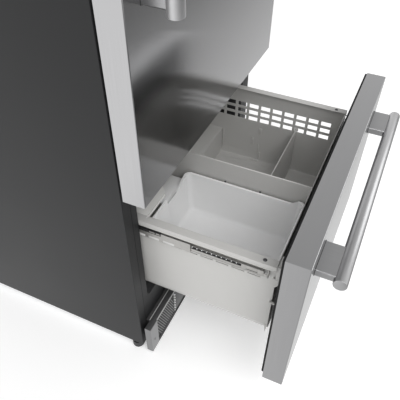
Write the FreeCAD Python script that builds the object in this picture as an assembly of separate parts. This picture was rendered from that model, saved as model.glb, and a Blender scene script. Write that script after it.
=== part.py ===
import FreeCAD, Part
import math
import os

# A tall free-standing refrigerator with one upper door and a pull-out freezer drawer below it.
# Sizes are in millimetres. X runs across the front, Y from front to back and Z up from the floor.
# The freezer drawer is modelled pulled out to the end of its slides.

Vector = FreeCAD.Vector
AXES = {"x": Vector(1, 0, 0), "y": Vector(0, 1, 0), "z": Vector(0, 0, 1)}
FULL_TURN = 360.0
RIGHT_ANGLE = 90.0

# Overall sizes of the case and its two fronts
unit_width = 760.0
case_depth = 610.0
case_bottom = 30.0
case_top = 2010.0
door_thickness = 52.0
seal_gap = 5.5
door_bottom = 608.0
door_top_gap = 4.0
front_gap = 13.0
drawer_front_bottom = 132.0
drawer_travel = 349.0

# Sheet metal of the case
case_sheet = 1.2
back_sheet = 0.8
frame_sheet = 1.5
hem_width = 14.0
flange_width = 53.0
lower_rail_bottom = 108.0

# Cold spaces inside the case
fridge_floor = 663.0
roof_insulation = 60.0
freezer_floor = 205.0
freezer_ceiling = 563.0
rear_insulation = 57.5
liner_wall = 2.0
liner_corner = 16.0
hump_depth = 140.0
hump_height = 117.0
hump_insulation = 35.0
floor_insulation = 55.0

# Base with its levelling legs and rear rollers
machine_sheet = 1.0
pan_level = 44.0
pan_sheet = 1.5
pan_front_flange = 25.0
pan_rear_flange = 12.0
leg_inset = 17.0
leg_setback = 27.5
foot_radius = 17.0
foot_height = 22.0
stud_radius = 5.0
stud_top = 78.0
roller_inset = 80.0
roller_setback = 66.0
roller_radius = 25.0
roller_width = 20.0
roller_side_gap = 0.5
roller_axle_radius = 4.0
cheek_sheet = 2.0
cheek_reach = 14.0
cheek_drop = 9.0
pan_slot_width = 8.0
pan_slot_length = 120.0
pan_slot_pitch = 34.0
pan_slot_count = 4
roller_room = 3.0
shaft_clearance = 0.08
running_gap = 0.3
corner_flats = 4
tube_sides = 6
hub_sides = 10
wheel_sides = 36
shell_sides = 24
edge_tolerance = 1.0

# Machine space at the back of the base
compressor_radius = 60.0
compressor_height = 150.0
compressor_dome = 26.0
compressor_dome_radius = 36.0
compressor_side_gap = 143.8
compressor_plate_width = 190.0
compressor_plate_depth = 116.0
compressor_plate_sheet = 3.0
compressor_plate_corner = 8.0
grommet_radius = 8.0
grommet_height = 12.0
grommet_inset = 16.0
terminal_width = 46.0
terminal_height = 40.0
terminal_reach = 14.0
cover_sheet = 1.0
cover_slot_width = 6.0
cover_slot_height = 52.0
cover_slot_pitch = 26.0
cover_slot_count = 11
cover_slot_rows = 2
cover_row_pitch = 72.0
cover_slot_start = 34.0
condenser_width = 330.0
condenser_depth = 240.0
condenser_height = 72.0
condenser_side_gap = 48.8
condenser_setback = 70.0
condenser_fins = 8
condenser_rows = 2
fin_sheet = 1.0
coil_tube_radius = 4.5
fin_margin = 8.0
tray_width = 240.0
tray_depth = 220.0
tray_height = 34.0
tray_side_gap = 68.8
tray_setback = 80.0
tray_wall = 1.5
tray_draft = 8.0
tray_corner = 14.0

# Fans
fan_blades = 5
fan_blade_sheet = 1.6
fan_pitch = 32.0
cooling_fan_tip = 42.0
cooling_fan_hub = 14.0
cooling_fan_depth = 14.0
cooling_fan_side_gap = 153.8
shroud_width = 130.0
shroud_sheet = 3.0
shroud_setback = 24.0
fan_tip_gap = 3.0
motor_radius = 15.0
motor_length = 26.0
motor_gap = 4.0
motor_shaft_radius = 2.5
motor_arm = 6.0
cold_fan_inset = 137.0
cold_fan_rise = 125.0
cold_fan_tip = 46.0

# Evaporator behind its cover at the back of the freezer
evaporator_cover_sheet = 3.0
evaporator_cover_setback = 85.0
evaporator_cover_lip = 0.5
evaporator_width = 340.0
evaporator_depth = 60.0
evaporator_top_gap = 31.0
evaporator_side_gap = 37.0
evaporator_rise = 20.0
evaporator_fins = 8
evaporator_rows = 2
return_slot_width = 40.0
return_slot_height = 10.0
return_slot_pitch = 52.0
return_slot_count = 7
return_slot_rise = 14.0

# Hinges of the upper door
hinge_inset = 16.0
hinge_setback = 22.0
hinge_pin_radius = 5.0
hinge_pin_length = 18.0
hinge_pin_relief = 1.0
hinge_plate = 5.0
hinge_collar_radius = 9.0
hinge_arm_half = 12.0
top_hinge_width = 92.0
top_hinge_depth = 90.0
hinge_corner = 6.0
hinge_ear = 10.0
hinge_flange_sheet = 3.0
hinge_arm_width = 31.0
hinge_cover_height = 22.0
hinge_cover_wall = 2.5
hinge_cover_margin = 6.0
hinge_cover_bevel = 3.0

# Toe grille under the drawer
grille_side_gap = 1.0
grille_front = 27.0
grille_back = 46.0
grille_bottom = 11.0
grille_top = 123.5
grille_end = 39.0
grille_edge = 2.0
louvre_sheet = 2.0
louvre_fields = 6
louvre_rib = 5.0
louvre_slot = 3.6
louvre_pitch = 8.2
louvre_bottom = 46.0
louvre_top = 113.0
louvre_lean = 30.0
grille_bracket_width = 20.0
grille_bracket_inset = 15.0
grille_bracket_bottom = 60.0
grille_bracket_height = 25.0

# Skins, inner panels and seals of the door and the drawer front
skin_sheet = 1.0
skin_round = 2.0
door_seal_width = 18.0
door_seal_inset = 32.0
door_seal_end = 12.0
drawer_seal_width = 18.0
drawer_seal_inset = 2.0
drawer_seal_bottom = 24.0
drawer_seal_top = 2.0
seal_corner = 10.0
plug_side = 62.0
plug_bottom = 118.0
plug_top = 99.0
plug_depth = 23.0
plug_taper = 6.0
dike_side = 74.0
dike_bottom = 92.0
dike_top = 78.0
dike_depth = 45.0
dike_width = 22.0
dike_corner = 20.0
door_bin_count = 3
door_bin_first = 150.0
door_bin_pitch = 330.0
door_bin_height = 105.0
door_bin_depth = 98.0
door_bin_wall = 2.5
door_bin_corner = 18.0
door_bin_draft = 6.0

# Bar handles
handle_diameter = 30.0
handle_reach = 55.0
handle_length = 652.0
post_width = 90.0
post_height = 18.0
post_spacing = 540.0
post_bevel = 2.0
drawer_handle_drop = 82.0
door_handle_inset = 58.0
door_handle_rise = 705.0

# Telescopic slides of the freezer drawer
slide_sheet = 1.5
slide_outer_height = 32.0
slide_middle_height = 26.0
slide_inner_height = 18.0
slide_outer_lip = 8.5
slide_middle_lip = 9.0
slide_level = 464.0
slide_length = 405.0
slide_start = 26.5
middle_share = 0.5

# Freezer drawer box
box_sheet = 2.0
box_side = 67.0
box_top = 498.0
box_floor = 237.0
box_bend = 28.0
bend_flats = 5
box_length = 439.0
box_step_from_front = 386.0
box_step_height = 94.0
ledge_inside = 8.0
ledge_outside = 11.0
ledge_lip = 10.0
slot_length = 30.0
slot_height = 14.0
slot_pitch = 38.6
slot_row_pitch = 23.0
slot_columns = 10
slot_from_front = 35.0
slot_top_drop = 50.0
right_slot_rows = 3
left_slot_rows = 1
centre_wall_x = -49.0
rail_reach_left = 118.0
rail_reach_right = 84.0
rail_deep_width = 93.0
rail_notch_run = 40.0
rail_lip = 8.0
divider_from_front = 135.0
divider_sheet = 3.0
divider_top_drop = 100.0
divider_tab_width = 10.0
divider_tab_height = 11.0
divider_tab_reach = 4.0
divider_tab_drop = 97.5

# Lift-out bin in the left half of the drawer
bin_left_gap = 11.0
bin_right_gap = 5.0
bin_front_gap = 4.0
bin_length = 335.0
bin_depth = 118.0
bin_top_drop = 62.0
bin_wall = 2.5
bin_rim = 5.0
bin_rim_height = 4.0
bin_draft = 14.0
bin_corner = 34.0
bin_scoop_depth = 16.0
bin_scoop_from_right = 23.0
bin_scoop_width = 105.0
bin_scoop_slope = 51.0
bin_flange_reach = 28.0
bin_support_gap = 1.0
bin_support_height = 8.0
bin_clip_width = 12.0
bin_clip_places = (129.5, 228.5)

# Shelves, crispers and fittings of the fresh-food space
shelf_glass = 4.0
shelf_side_gap = 1.0
shelf_setback = 135.0
shelf_depth = 370.0
shelf_levels = {"crisper_lid": 892.0, "shelf_middle": 1230.0, "shelf_upper": 1580.0}
shelf_rib_width = 8.0
shelf_rib_height = 8.0
crisper_setback = 160.0
crisper_depth = 345.0
crisper_height = 215.0
crisper_side_gap = 18.0
crisper_middle_gap = 3.0
crisper_wall = 2.5
crisper_corner = 16.0
crisper_draft = 8.0
crisper_grip_reach = 14.0
crisper_grip_height = 26.0
panel_half_width = 150.0
panel_setback = 75.0
panel_depth = 150.0
panel_height = 30.0
panel_slope = 40.0
duct_half_width = 70.0
duct_depth = 20.0
duct_bottom = 920.0
duct_top_gap = 50.0
duct_corner = 8.0
duct_slot_width = 70.0
duct_slot_height = 12.0
duct_slot_depth = 8.0
duct_slot_pitch = 150.0
duct_slot_count = 6
duct_slot_start = 100.0

# Places that follow from the sizes above
half_width = unit_width / 2
front_reach = drawer_travel + handle_reach + handle_diameter / 2
back_reach = door_thickness + seal_gap + case_depth
front_y = (front_reach - back_reach) / 2
case_front = front_y + door_thickness + seal_gap
case_back = case_front + case_depth
frame_back = case_front + frame_sheet
inner_half = half_width - case_sheet
opening_half = half_width - flange_width
door_top = case_top - door_top_gap
fridge_ceiling = case_top - roof_insulation
duct_top = fridge_ceiling - duct_top_gap
grille_half_length = half_width - grille_side_gap
dike_half_width = half_width - dike_side
cold_fan_x = opening_half - cold_fan_inset
evaporator_x = evaporator_width / 2 + evaporator_side_gap - opening_half
condenser_x = condenser_width / 2 + condenser_side_gap - inner_half
tray_x = inner_half - tray_side_gap - tray_width / 2
compressor_x = inner_half - compressor_side_gap - compressor_plate_width / 2
cooling_fan_x = cooling_fan_side_gap + shroud_width / 2 - inner_half
door_handle_middle = door_bottom + door_handle_rise
liner_back = case_back - rear_insulation
hump_front = liner_back - hump_depth
hump_top = freezer_floor + hump_height
deck_level = freezer_floor - floor_insulation
machine_front = hump_front + hump_insulation
machine_ceiling = hump_top - hump_insulation
cover_front = case_back - case_sheet - cover_sheet
pan_top = pan_level + pan_sheet
pivot_x = half_width - hinge_inset
pivot_y = front_y + hinge_setback
door_back = front_y + door_thickness
seal_thickness = seal_gap - running_gap
drawer_front_top = door_bottom - front_gap
drawer_handle_level = drawer_front_top - drawer_handle_drop
plug_back = door_back + plug_depth
box_half = half_width - box_side
box_back = plug_back + box_length
box_step = plug_back + box_step_from_front
step_top = box_floor + box_step_height
box_bottom = box_floor - box_sheet
bend_top = box_bottom + box_bend
bend_middle = box_half - box_bend
bin_top = box_top - bin_top_drop
bin_front = plug_back + box_sheet + bin_front_gap
bin_back = bin_front + bin_length
support_top = bin_top - bin_rim_height - running_gap
support_bottom = support_top - bin_support_height
evaporator_cover_back = liner_back - evaporator_cover_setback + evaporator_cover_sheet


# Shape helpers

def block(x0, x1, y0, y1, z0, z1):
    """A rectangular solid between two corners."""
    return Part.makeBox(x1 - x0, y1 - y0, z1 - z0, Vector(x0, y0, z0))


def edges_along(shape, axis):
    """The straight edges of a shape that run along an axis."""
    picked = []
    for edge in shape.Edges:
        run = edge.Vertexes[-1].Point - edge.Vertexes[0].Point
        straight = run.Length * math.cos(math.radians(edge_tolerance))
        if run.Length > running_gap and abs(run.dot(AXES[axis])) > straight:
            picked.append(edge)
    return picked


def edges_at(shape, axis, place):
    """The edges of a shape that lie wholly in one plane across an axis."""
    picked = []
    for edge in shape.Edges:
        bounds = edge.BoundBox
        low = {"x": bounds.XMin, "y": bounds.YMin, "z": bounds.ZMin}[axis]
        high = {"x": bounds.XMax, "y": bounds.YMax, "z": bounds.ZMax}[axis]
        if abs(low - place) < shaft_clearance and abs(high - place) < shaft_clearance:
            picked.append(edge)
    return picked


def rounded_block(x0, x1, y0, y1, z0, z1, axis, radius):
    """A rectangular solid with its four edges along one axis rounded."""
    shape = block(x0, x1, y0, y1, z0, z1)
    return shape.makeFillet(radius, edges_along(shape, axis))


def extrude(points, axis, start, end):
    """A flat outline pushed along an axis. The outline's own axes are the other two, in order."""
    places = {
        "x": lambda a, b: Vector(start, a, b),
        "y": lambda a, b: Vector(a, start, b),
        "z": lambda a, b: Vector(a, b, start),
    }
    corners = [places[axis](a, b) for a, b in points]
    outline = Part.makePolygon(corners + corners[:1])
    return Part.Face(outline).extrude(AXES[axis] * (end - start))


def rod(axis, centre, radius, length):
    """A round bar that starts at a point and runs along an axis."""
    return Part.makeCylinder(radius, length, Vector(*centre), AXES[axis])


def many_sided(axis, a, b, radius, start, end, sides):
    """A bar with flat sides, for small hidden parts. Its centre is given in the outline's own axes."""
    ring = []
    for index in range(sides):
        angle = math.radians(index * FULL_TURN / sides)
        ring.append((a + radius * math.cos(angle), b + radius * math.sin(angle)))
    return extrude(ring, axis, start, end)


def turned(profile, x, y):
    """A solid of revolution about an upright axis, from radius and height pairs."""
    corners = [Vector(x + radius, y, height) for radius, height in profile]
    outline = Part.makePolygon(corners + corners[:1])
    return Part.Face(outline).revolve(Vector(x, y, 0), AXES["z"], FULL_TURN)


def rounded_outline(x0, x1, y0, y1, z, radius):
    """The corners of a level rectangle whose ends are turned by a few short flats."""
    centres = [
        (x1 - radius, y1 - radius),
        (x0 + radius, y1 - radius),
        (x0 + radius, y0 + radius),
        (x1 - radius, y0 + radius),
    ]
    corners = []
    for quarter, (x, y) in enumerate(centres):
        for step in range(corner_flats + 1):
            angle = math.radians(RIGHT_ANGLE * (quarter + step / corner_flats))
            corners.append(Vector(x + radius * math.cos(angle), y + radius * math.sin(angle), z))
    return corners


def between_rings(foot, rim):
    """A solid with flat sides between two level rings of corners."""
    rings = [Part.makePolygon(ring + ring[:1]) for ring in (foot, rim)]
    faces = [Part.Face(ring) for ring in rings]
    for index in range(len(foot)):
        after = (index + 1) % len(foot)
        side = [foot[index], foot[after], rim[after], rim[index], foot[index]]
        faces.append(Part.Face(Part.makePolygon(side)))
    return Part.Solid(Part.makeShell(faces))


def tapered_tub(x0, x1, y0, y1, z0, z1, draft, radius):
    """A solid that is smaller at its foot, with round upright corners."""
    foot = rounded_outline(x0 + draft, x1 - draft, y0 + draft, y1 - draft, z0, radius)
    rim = rounded_outline(x0, x1, y0, y1, z1, radius)
    return between_rings(foot, rim)


def open_tub(x0, x1, y0, y1, z0, z1, wall, draft, radius):
    """A thin-walled open box with drafted sides."""
    outer = tapered_tub(x0, x1, y0, y1, z0, z1, draft, radius)
    inner = tapered_tub(
        x0 + wall, x1 - wall, y0 + wall, y1 - wall, z0 + wall, z1 + wall, draft, radius - wall)
    return outer.cut(inner)


def joined(first, others):
    """Several touching or overlapping solids as one clean solid."""
    return first.fuse(others).removeSplitter()


def mirrored(shape):
    """The same shape on the other side of the middle plane."""
    return shape.mirror(Vector(0, 0, 0), AXES["x"])


def moved(shape, y=0.0):
    """A copy of a shape, shifted from front to back."""
    copy = shape.copy()
    copy.translate(Vector(0, y, 0))
    return copy


def save(name, shape):
    """Write one piece to its own file."""
    shape.exportStep("parts/" + name + ".step")


# Case

def side_panel():
    """Right-hand outer panel, a steel sheet with its front and rear edges turned in."""
    turn = half_width - hem_width
    return_back = frame_back + case_sheet
    hem_front = case_back - case_sheet
    plan = [
        (half_width, case_front),
        (half_width, case_back),
        (turn, case_back),
        (turn, hem_front),
        (inner_half, hem_front),
        (inner_half, return_back),
        (turn, return_back),
        (turn, frame_back),
        (inner_half, frame_back),
        (inner_half, case_front),
    ]
    return extrude(plan, "z", case_bottom, case_top)


def top_panel(sides):
    """Steel roof between the side panels, notched for their turned edges."""
    back = case_back - case_sheet
    roof = block(-inner_half, inner_half, case_front, back, case_top - case_sheet, case_top)
    return roof.cut(sides)


def back_panel():
    """Steel back above the machine space, set inside the rear hems."""
    back = case_back - case_sheet
    return block(-inner_half, inner_half, back - back_sheet, back, machine_ceiling, case_top - case_sheet)


def front_frame():
    """Steel flange round both cold spaces, with two stiles that run down beside the toe space."""
    top = case_top - case_sheet
    plate = block(-inner_half, inner_half, case_front, frame_back, case_bottom, top)
    toe = block(-opening_half, opening_half, case_front, frame_back, case_bottom, lower_rail_bottom)
    openings = [toe]
    for floor, ceiling in ((fridge_floor, fridge_ceiling), (freezer_floor, freezer_ceiling)):
        hole = rounded_block(
            -opening_half, opening_half, case_front, frame_back, floor, ceiling, "y", liner_corner)
        openings.append(hole)
    return plate.cut(openings)


def fridge_space(grow):
    """The fresh-food space, grown outwards by a wall."""
    half = opening_half + grow
    back = liner_back + grow
    floor = fridge_floor - grow
    ceiling = fridge_ceiling + grow
    return rounded_block(-half, half, frame_back, back, floor, ceiling, "y", liner_corner + grow)


def freezer_space(grow):
    """The freezer space, with a hump at its lower back over the machine space, grown by a wall."""
    half = opening_half + grow
    back = liner_back + grow
    floor = freezer_floor - grow
    ceiling = freezer_ceiling + grow
    outline = [
        (frame_back, floor),
        (hump_front + grow, floor),
        (hump_front + grow, hump_top - grow),
        (back, hump_top - grow),
        (back, ceiling),
        (frame_back, ceiling),
    ]
    space = extrude(outline, "x", -half, half)
    corners = [edge for edge in edges_along(space, "y") if edge.BoundBox.ZMin > ceiling - running_gap]
    corners += [edge for edge in edges_along(space, "y") if edge.BoundBox.ZMax < floor + running_gap]
    return space.makeFillet(liner_corner + grow, corners)


def shelf_ribs():
    """Ledges on the side walls that carry the glass shelves."""
    front = frame_back + shelf_setback
    ribs = []
    for level in shelf_levels.values():
        inside = opening_half - shelf_rib_width
        low = level - shelf_rib_height
        rib = block(inside, opening_half + liner_wall, front, front + shelf_depth, low, level)
        ribs.append(rib)
        ribs.append(mirrored(rib))
    return ribs


def fridge_liner():
    """Moulded inner wall of the fresh-food space with its shelf ledges."""
    return joined(fridge_space(liner_wall).cut(fridge_space(0)), shelf_ribs())


def freezer_liner():
    """Moulded inner wall of the freezer space."""
    return freezer_space(liner_wall).cut(freezer_space(0))


def foam_body(sides):
    """Insulation between the outer panels and the two inner walls."""
    back = case_back - case_sheet - back_sheet
    top = case_top - case_sheet
    outline = [
        (frame_back, deck_level),
        (machine_front, deck_level),
        (machine_front, machine_ceiling),
        (back, machine_ceiling),
        (back, top),
        (frame_back, top),
    ]
    body = extrude(outline, "x", -inner_half, inner_half)
    return body.cut([fridge_space(liner_wall), freezer_space(liner_wall), sides])


def machine_wall(sides):
    """Stepped steel sheet that closes the insulation above the base and the machine space."""
    back = case_back - case_sheet
    outline = [
        (frame_back, deck_level),
        (machine_front, deck_level),
        (machine_front, machine_ceiling),
        (back, machine_ceiling),
        (back, machine_ceiling - machine_sheet),
        (machine_front + machine_sheet, machine_ceiling - machine_sheet),
        (machine_front + machine_sheet, deck_level - machine_sheet),
        (frame_back, deck_level - machine_sheet),
    ]
    return extrude(outline, "x", -inner_half, inner_half).cut(sides)


# Base, feet and rollers

def roller_cheeks(x, y):
    """A pair of bracket cheeks under the base pan with the axle between them."""
    inside = roller_width / 2 + roller_side_gap
    outside = inside + cheek_sheet
    pieces = []
    for side in (-1, 1):
        near = min(x + side * inside, x + side * outside)
        low = roller_radius - cheek_drop
        outline = [
            (y - cheek_reach, pan_top),
            (y - cheek_drop, low),
            (y + cheek_drop, low),
            (y + cheek_reach, pan_top),
        ]
        pieces.append(extrude(outline, "x", near, near + cheek_sheet))
    pieces.append(rod("x", (x - outside, y, roller_radius), roller_axle_radius, 2 * outside))
    return pieces


def base_pan(sides):
    """Steel floor of the base with turned-up ends, air slots, leg holes and roller brackets."""
    front = frame_back + case_sheet
    rear = cover_front
    outline = [
        (front, pan_level),
        (rear, pan_level),
        (rear, pan_top + pan_rear_flange),
        (rear - pan_sheet, pan_top + pan_rear_flange),
        (rear - pan_sheet, pan_top),
        (front + pan_sheet, pan_top),
        (front + pan_sheet, pan_top + pan_front_flange),
        (front, pan_top + pan_front_flange),
    ]
    pan = extrude(outline, "x", -inner_half, inner_half)
    cuts = [sides]
    leg_y = case_front + leg_setback
    roller_y = case_back - roller_setback
    brackets = []
    for side in (-1, 1):
        leg_x = side * (half_width - leg_inset)
        cuts.append(rod("z", (leg_x, leg_y, pan_level), stud_radius + shaft_clearance, pan_sheet))
        roller_x = side * (half_width - roller_inset)
        wide = roller_width / 2 + roller_side_gap
        deep = roller_radius + roller_room
        cuts.append(block(
            roller_x - wide, roller_x + wide, roller_y - deep, roller_y + deep, pan_level, pan_top))
        brackets += roller_cheeks(roller_x, roller_y)
    slot_front = machine_front - pan_slot_length
    for index in range(pan_slot_count):
        slot_x = (index - (pan_slot_count - 1) / 2) * pan_slot_pitch + tray_x / 2 - tray_width / 2
        cuts.append(block(slot_x, slot_x + pan_slot_width, slot_front, machine_front, pan_level, pan_top))
    return joined(pan.cut(cuts), brackets)


def levelling_leg():
    """Right-hand screw foot: a round pad on a stud."""
    profile = [
        (0, 0),
        (foot_radius, 0),
        (foot_radius, foot_height),
        (stud_radius, foot_height),
        (stud_radius, stud_top),
        (0, stud_top),
    ]
    return turned(profile, half_width - leg_inset, case_front + leg_setback)


def roller():
    """Right-hand rear wheel, bored for its axle."""
    x = half_width - roller_inset - roller_width / 2
    y = case_back - roller_setback
    wheel = many_sided("x", y, roller_radius, roller_radius, x, x + roller_width, wheel_sides)
    return wheel.cut(rod("x", (x, y, roller_radius), roller_axle_radius + shaft_clearance, roller_width))


# Machine space

def compressor():
    """Sealed compressor: a domed shell with its terminal box, on a foot plate with four grommets."""
    y = (machine_front + machine_sheet + cover_front) / 2
    plate_bottom = pan_top + grommet_height
    plate_top = plate_bottom + compressor_plate_sheet
    shell_top = plate_top + compressor_height
    profile = [
        (compressor_dome_radius, plate_top),
        (compressor_radius, plate_top + compressor_dome),
        (compressor_radius, shell_top - compressor_dome),
        (compressor_dome_radius, shell_top),
    ]
    rings = []
    for radius, height in profile:
        ring = []
        for index in range(shell_sides):
            angle = math.radians(index * FULL_TURN / shell_sides)
            side = compressor_x + radius * math.cos(angle)
            ring.append(Vector(side, y + radius * math.sin(angle), height))
        rings.append(ring)
    tiers = [between_rings(foot, rim) for foot, rim in zip(rings, rings[1:])]
    shell = joined(tiers[0], tiers[1:])
    x0 = compressor_x - compressor_plate_width / 2
    x1 = compressor_x + compressor_plate_width / 2
    y0 = y - compressor_plate_depth / 2
    y1 = y + compressor_plate_depth / 2
    plate = block(x0, x1, y0, y1, plate_bottom, plate_top)
    plate = plate.makeChamfer(compressor_plate_corner, edges_along(plate, "z"))
    pieces = [plate]
    for grommet_x in (x0 + grommet_inset, x1 - grommet_inset):
        for grommet_y in (y0 + grommet_inset, y1 - grommet_inset):
            grommet = many_sided(
                "z", grommet_x, grommet_y, grommet_radius, pan_top, plate_bottom, tube_sides)
            pieces.append(grommet)
    terminal_x = compressor_x - compressor_radius - terminal_reach
    terminal_low = plate_top + compressor_dome
    terminal_high = terminal_low + terminal_height
    pieces.append(block(
        terminal_x, compressor_x, y - terminal_width / 2, y + terminal_width / 2,
        terminal_low, terminal_high))
    return joined(shell, pieces)


def finned_coil(x0, x1, y0, y1, z0, z1, fins, rows):
    """A refrigerant coil: level tubes through a row of upright fins, joined by end bends."""
    pieces = []
    pitch = (x1 - x0 - fin_sheet) / (fins - 1)
    for index in range(fins):
        fin_x = x0 + index * pitch
        pieces.append(block(fin_x, fin_x + fin_sheet, y0, y1, z0, z1))
    middle = (y0 + y1) / 2
    front = middle - coil_tube_radius
    back = middle + coil_tube_radius
    inset = (z1 - z0) / (2 * rows)
    for index in range(rows):
        level = z0 + inset * (2 * index + 1)
        pieces.append(many_sided(
            "x", middle, level, coil_tube_radius, x0 - fin_margin, x1 + fin_margin, tube_sides))
        end = x1 + fin_margin if index % 2 == 0 else x0 - 2 * fin_margin
        low = level - coil_tube_radius
        high = level + 2 * inset + coil_tube_radius
        if index + 1 < rows:
            pieces.append(block(end, end + fin_margin, front, back, low, high))
    return joined(pieces[0], pieces[1:])


def condenser():
    """Finned condenser that stands on the base pan behind the toe grille."""
    front = case_front + condenser_setback
    x0 = condenser_x - condenser_width / 2
    x1 = condenser_x + condenser_width / 2
    top = pan_top + condenser_height
    return finned_coil(x0, x1, front, front + condenser_depth, pan_top, top, condenser_fins, condenser_rows)


def drip_tray():
    """Shallow tray on the base pan that catches the defrost water."""
    front = case_front + tray_setback
    x0 = tray_x - tray_width / 2
    x1 = tray_x + tray_width / 2
    top = pan_top + tray_height
    return open_tub(x0, x1, front, front + tray_depth, pan_top, top, tray_wall, tray_draft, tray_corner)


def fan(x, y, z, hub, tip, depth):
    """A bladed wheel that turns about a front-to-back axis, bored from behind for its shaft."""
    wheel = many_sided("y", x, z, hub, y, y + depth, hub_sides)
    blade = Part.makeBox(fan_blade_sheet, depth, tip, Vector(x - fan_blade_sheet / 2, y, z))
    blade.rotate(Vector(x, y + depth / 2, z), AXES["z"], fan_pitch)
    blades = []
    for index in range(fan_blades):
        turned_blade = blade.copy()
        turned_blade.rotate(Vector(x, y, z), AXES["y"], index * FULL_TURN / fan_blades)
        blades.append(turned_blade)
    wheel = joined(wheel, blades)
    bore_start = y + depth / 2
    return wheel.cut(rod("y", (x, bore_start, z), motor_shaft_radius + shaft_clearance, depth / 2))


def fan_motor(x, y, z, hub_depth, arm_reach, plate_back):
    """A motor behind a fan, with its shaft and two arms that reach a plate in front of it."""
    face = y + hub_depth + motor_gap
    body = block(
        x - motor_radius, x + motor_radius, face, face + motor_length, z - motor_radius, z + motor_radius)
    shaft_start = y + hub_depth / 2 + running_gap
    pieces = [rod("y", (x, shaft_start, z), motor_shaft_radius, face - shaft_start)]
    half = motor_arm / 2
    pieces.append(block(x - arm_reach, x + arm_reach, face, face + motor_arm, z - half, z + half))
    for side in (-1, 1):
        post = x + side * arm_reach
        pieces.append(block(post - half, post + half, plate_back, face + motor_arm, z - half, z + half))
    return joined(body, pieces)


cooling_fan_y = machine_front - shroud_setback
cooling_fan_z = (pan_top + deck_level - machine_sheet) / 2
cooling_arm = cooling_fan_tip + fan_tip_gap + motor_arm
cold_fan_y = evaporator_cover_back + running_gap
cold_fan_z = hump_top + cold_fan_rise
cold_arm = cold_fan_tip + fan_tip_gap + motor_arm


def condenser_fan():
    """Fan that draws air from the toe grille over the condenser."""
    return fan(
        cooling_fan_x, cooling_fan_y, cooling_fan_z, cooling_fan_hub, cooling_fan_tip, cooling_fan_depth)


def condenser_fan_motor():
    """Fan motor on a shroud plate that stands between the base pan and the deck."""
    x0 = cooling_fan_x - shroud_width / 2
    x1 = cooling_fan_x + shroud_width / 2
    back = cooling_fan_y + shroud_sheet
    plate = block(x0, x1, cooling_fan_y, back, pan_top, deck_level - machine_sheet)
    mouth_radius = cooling_fan_tip + fan_tip_gap
    mouth = many_sided("y", cooling_fan_x, cooling_fan_z, mouth_radius, cooling_fan_y, back, shell_sides)
    motor = fan_motor(cooling_fan_x, cooling_fan_y, cooling_fan_z, cooling_fan_depth, cooling_arm, back)
    return joined(plate.cut(mouth), [motor])


def rear_cover():
    """Slotted steel cover over the back of the machine space."""
    half = inner_half
    top = machine_ceiling - machine_sheet
    plate = block(-half, half, cover_front, cover_front + cover_sheet, pan_level, top)
    slots = []
    for row in range(cover_slot_rows):
        low = pan_top + cover_slot_start + row * cover_row_pitch
        for column in range(cover_slot_count):
            middle = (column - (cover_slot_count - 1) / 2) * cover_slot_pitch
            left = middle - cover_slot_width / 2
            right = middle + cover_slot_width / 2
            slots.append(block(
                left, right, cover_front, cover_front + cover_sheet, low, low + cover_slot_height))
    return plate.cut(slots)


# Evaporator

def evaporator():
    """Finned evaporator hung on the back wall of the freezer."""
    x0 = evaporator_x - evaporator_width / 2
    x1 = evaporator_x + evaporator_width / 2
    low = hump_top + evaporator_rise
    front = liner_back - evaporator_depth
    high = freezer_ceiling - evaporator_top_gap
    return finned_coil(x0, x1, front, liner_back, low, high, evaporator_fins, evaporator_rows)


def evaporator_cover():
    """Panel across the back of the freezer, with the fan's mouth and a row of return slots."""
    half = opening_half - evaporator_cover_lip
    front = liner_back - evaporator_cover_setback
    top = freezer_ceiling - evaporator_cover_lip
    panel = rounded_block(
        -half, half, front, evaporator_cover_back, hump_top, top, "y", liner_corner)
    cuts = [rod("y", (cold_fan_x, front, cold_fan_z), cold_fan_tip + fan_tip_gap, evaporator_cover_sheet)]
    for index in range(return_slot_count):
        middle = evaporator_x + (index - (return_slot_count - 1) / 2) * return_slot_pitch
        left = middle - return_slot_width / 2
        low = hump_top + return_slot_rise
        cuts.append(block(
            left, left + return_slot_width, front, evaporator_cover_back, low, low + return_slot_height))
    return panel.cut(cuts)


def evaporator_fan():
    """Fan that blows cold air through the evaporator cover."""
    return fan(cold_fan_x, cold_fan_y, cold_fan_z, cooling_fan_hub, cold_fan_tip, cooling_fan_depth)


def evaporator_fan_motor():
    """Motor of the cold-air fan on two arms from the back of the cover."""
    return fan_motor(cold_fan_x, cold_fan_y, cold_fan_z, cooling_fan_depth, cold_arm, evaporator_cover_back)


# Hinges

def top_hinge():
    """Steel hinge plate on the roof with an arm over the door and a pin into its top."""
    right = pivot_x + hinge_arm_half
    front = pivot_y - hinge_arm_half
    inner = right - top_hinge_width
    plan = [
        (right, front),
        (right, case_front + top_hinge_depth),
        (inner, case_front + top_hinge_depth),
        (inner, case_front + hinge_ear),
        (right - hinge_arm_width, case_front + hinge_ear),
        (right - hinge_arm_width, front),
    ]
    plate = extrude(plan, "z", case_top, case_top + hinge_plate)
    plate = plate.makeChamfer(hinge_corner, edges_along(plate, "z"))
    pin_bottom = door_top - hinge_pin_length
    pin = rod("z", (pivot_x, pivot_y, pin_bottom), hinge_pin_radius, case_top - pin_bottom)
    return joined(plate, [pin])


def hinge_cover():
    """Moulded cap over the top hinge."""
    right = pivot_x + hinge_arm_half + hinge_cover_wall
    left = right - top_hinge_width - hinge_cover_margin
    front = pivot_y - hinge_arm_half - hinge_cover_wall
    back = case_front + top_hinge_depth + hinge_cover_margin
    top = case_top + hinge_cover_height
    cap = block(left, right, front, back, case_top, top)
    cap = cap.makeChamfer(hinge_cover_bevel, edges_along(cap, "z") + edges_at(cap, "z", top))
    wall = hinge_cover_wall
    hollow = block(left + wall, right - wall, front + wall, back - wall, case_top, top - wall)
    return cap.cut(hollow)


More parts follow.
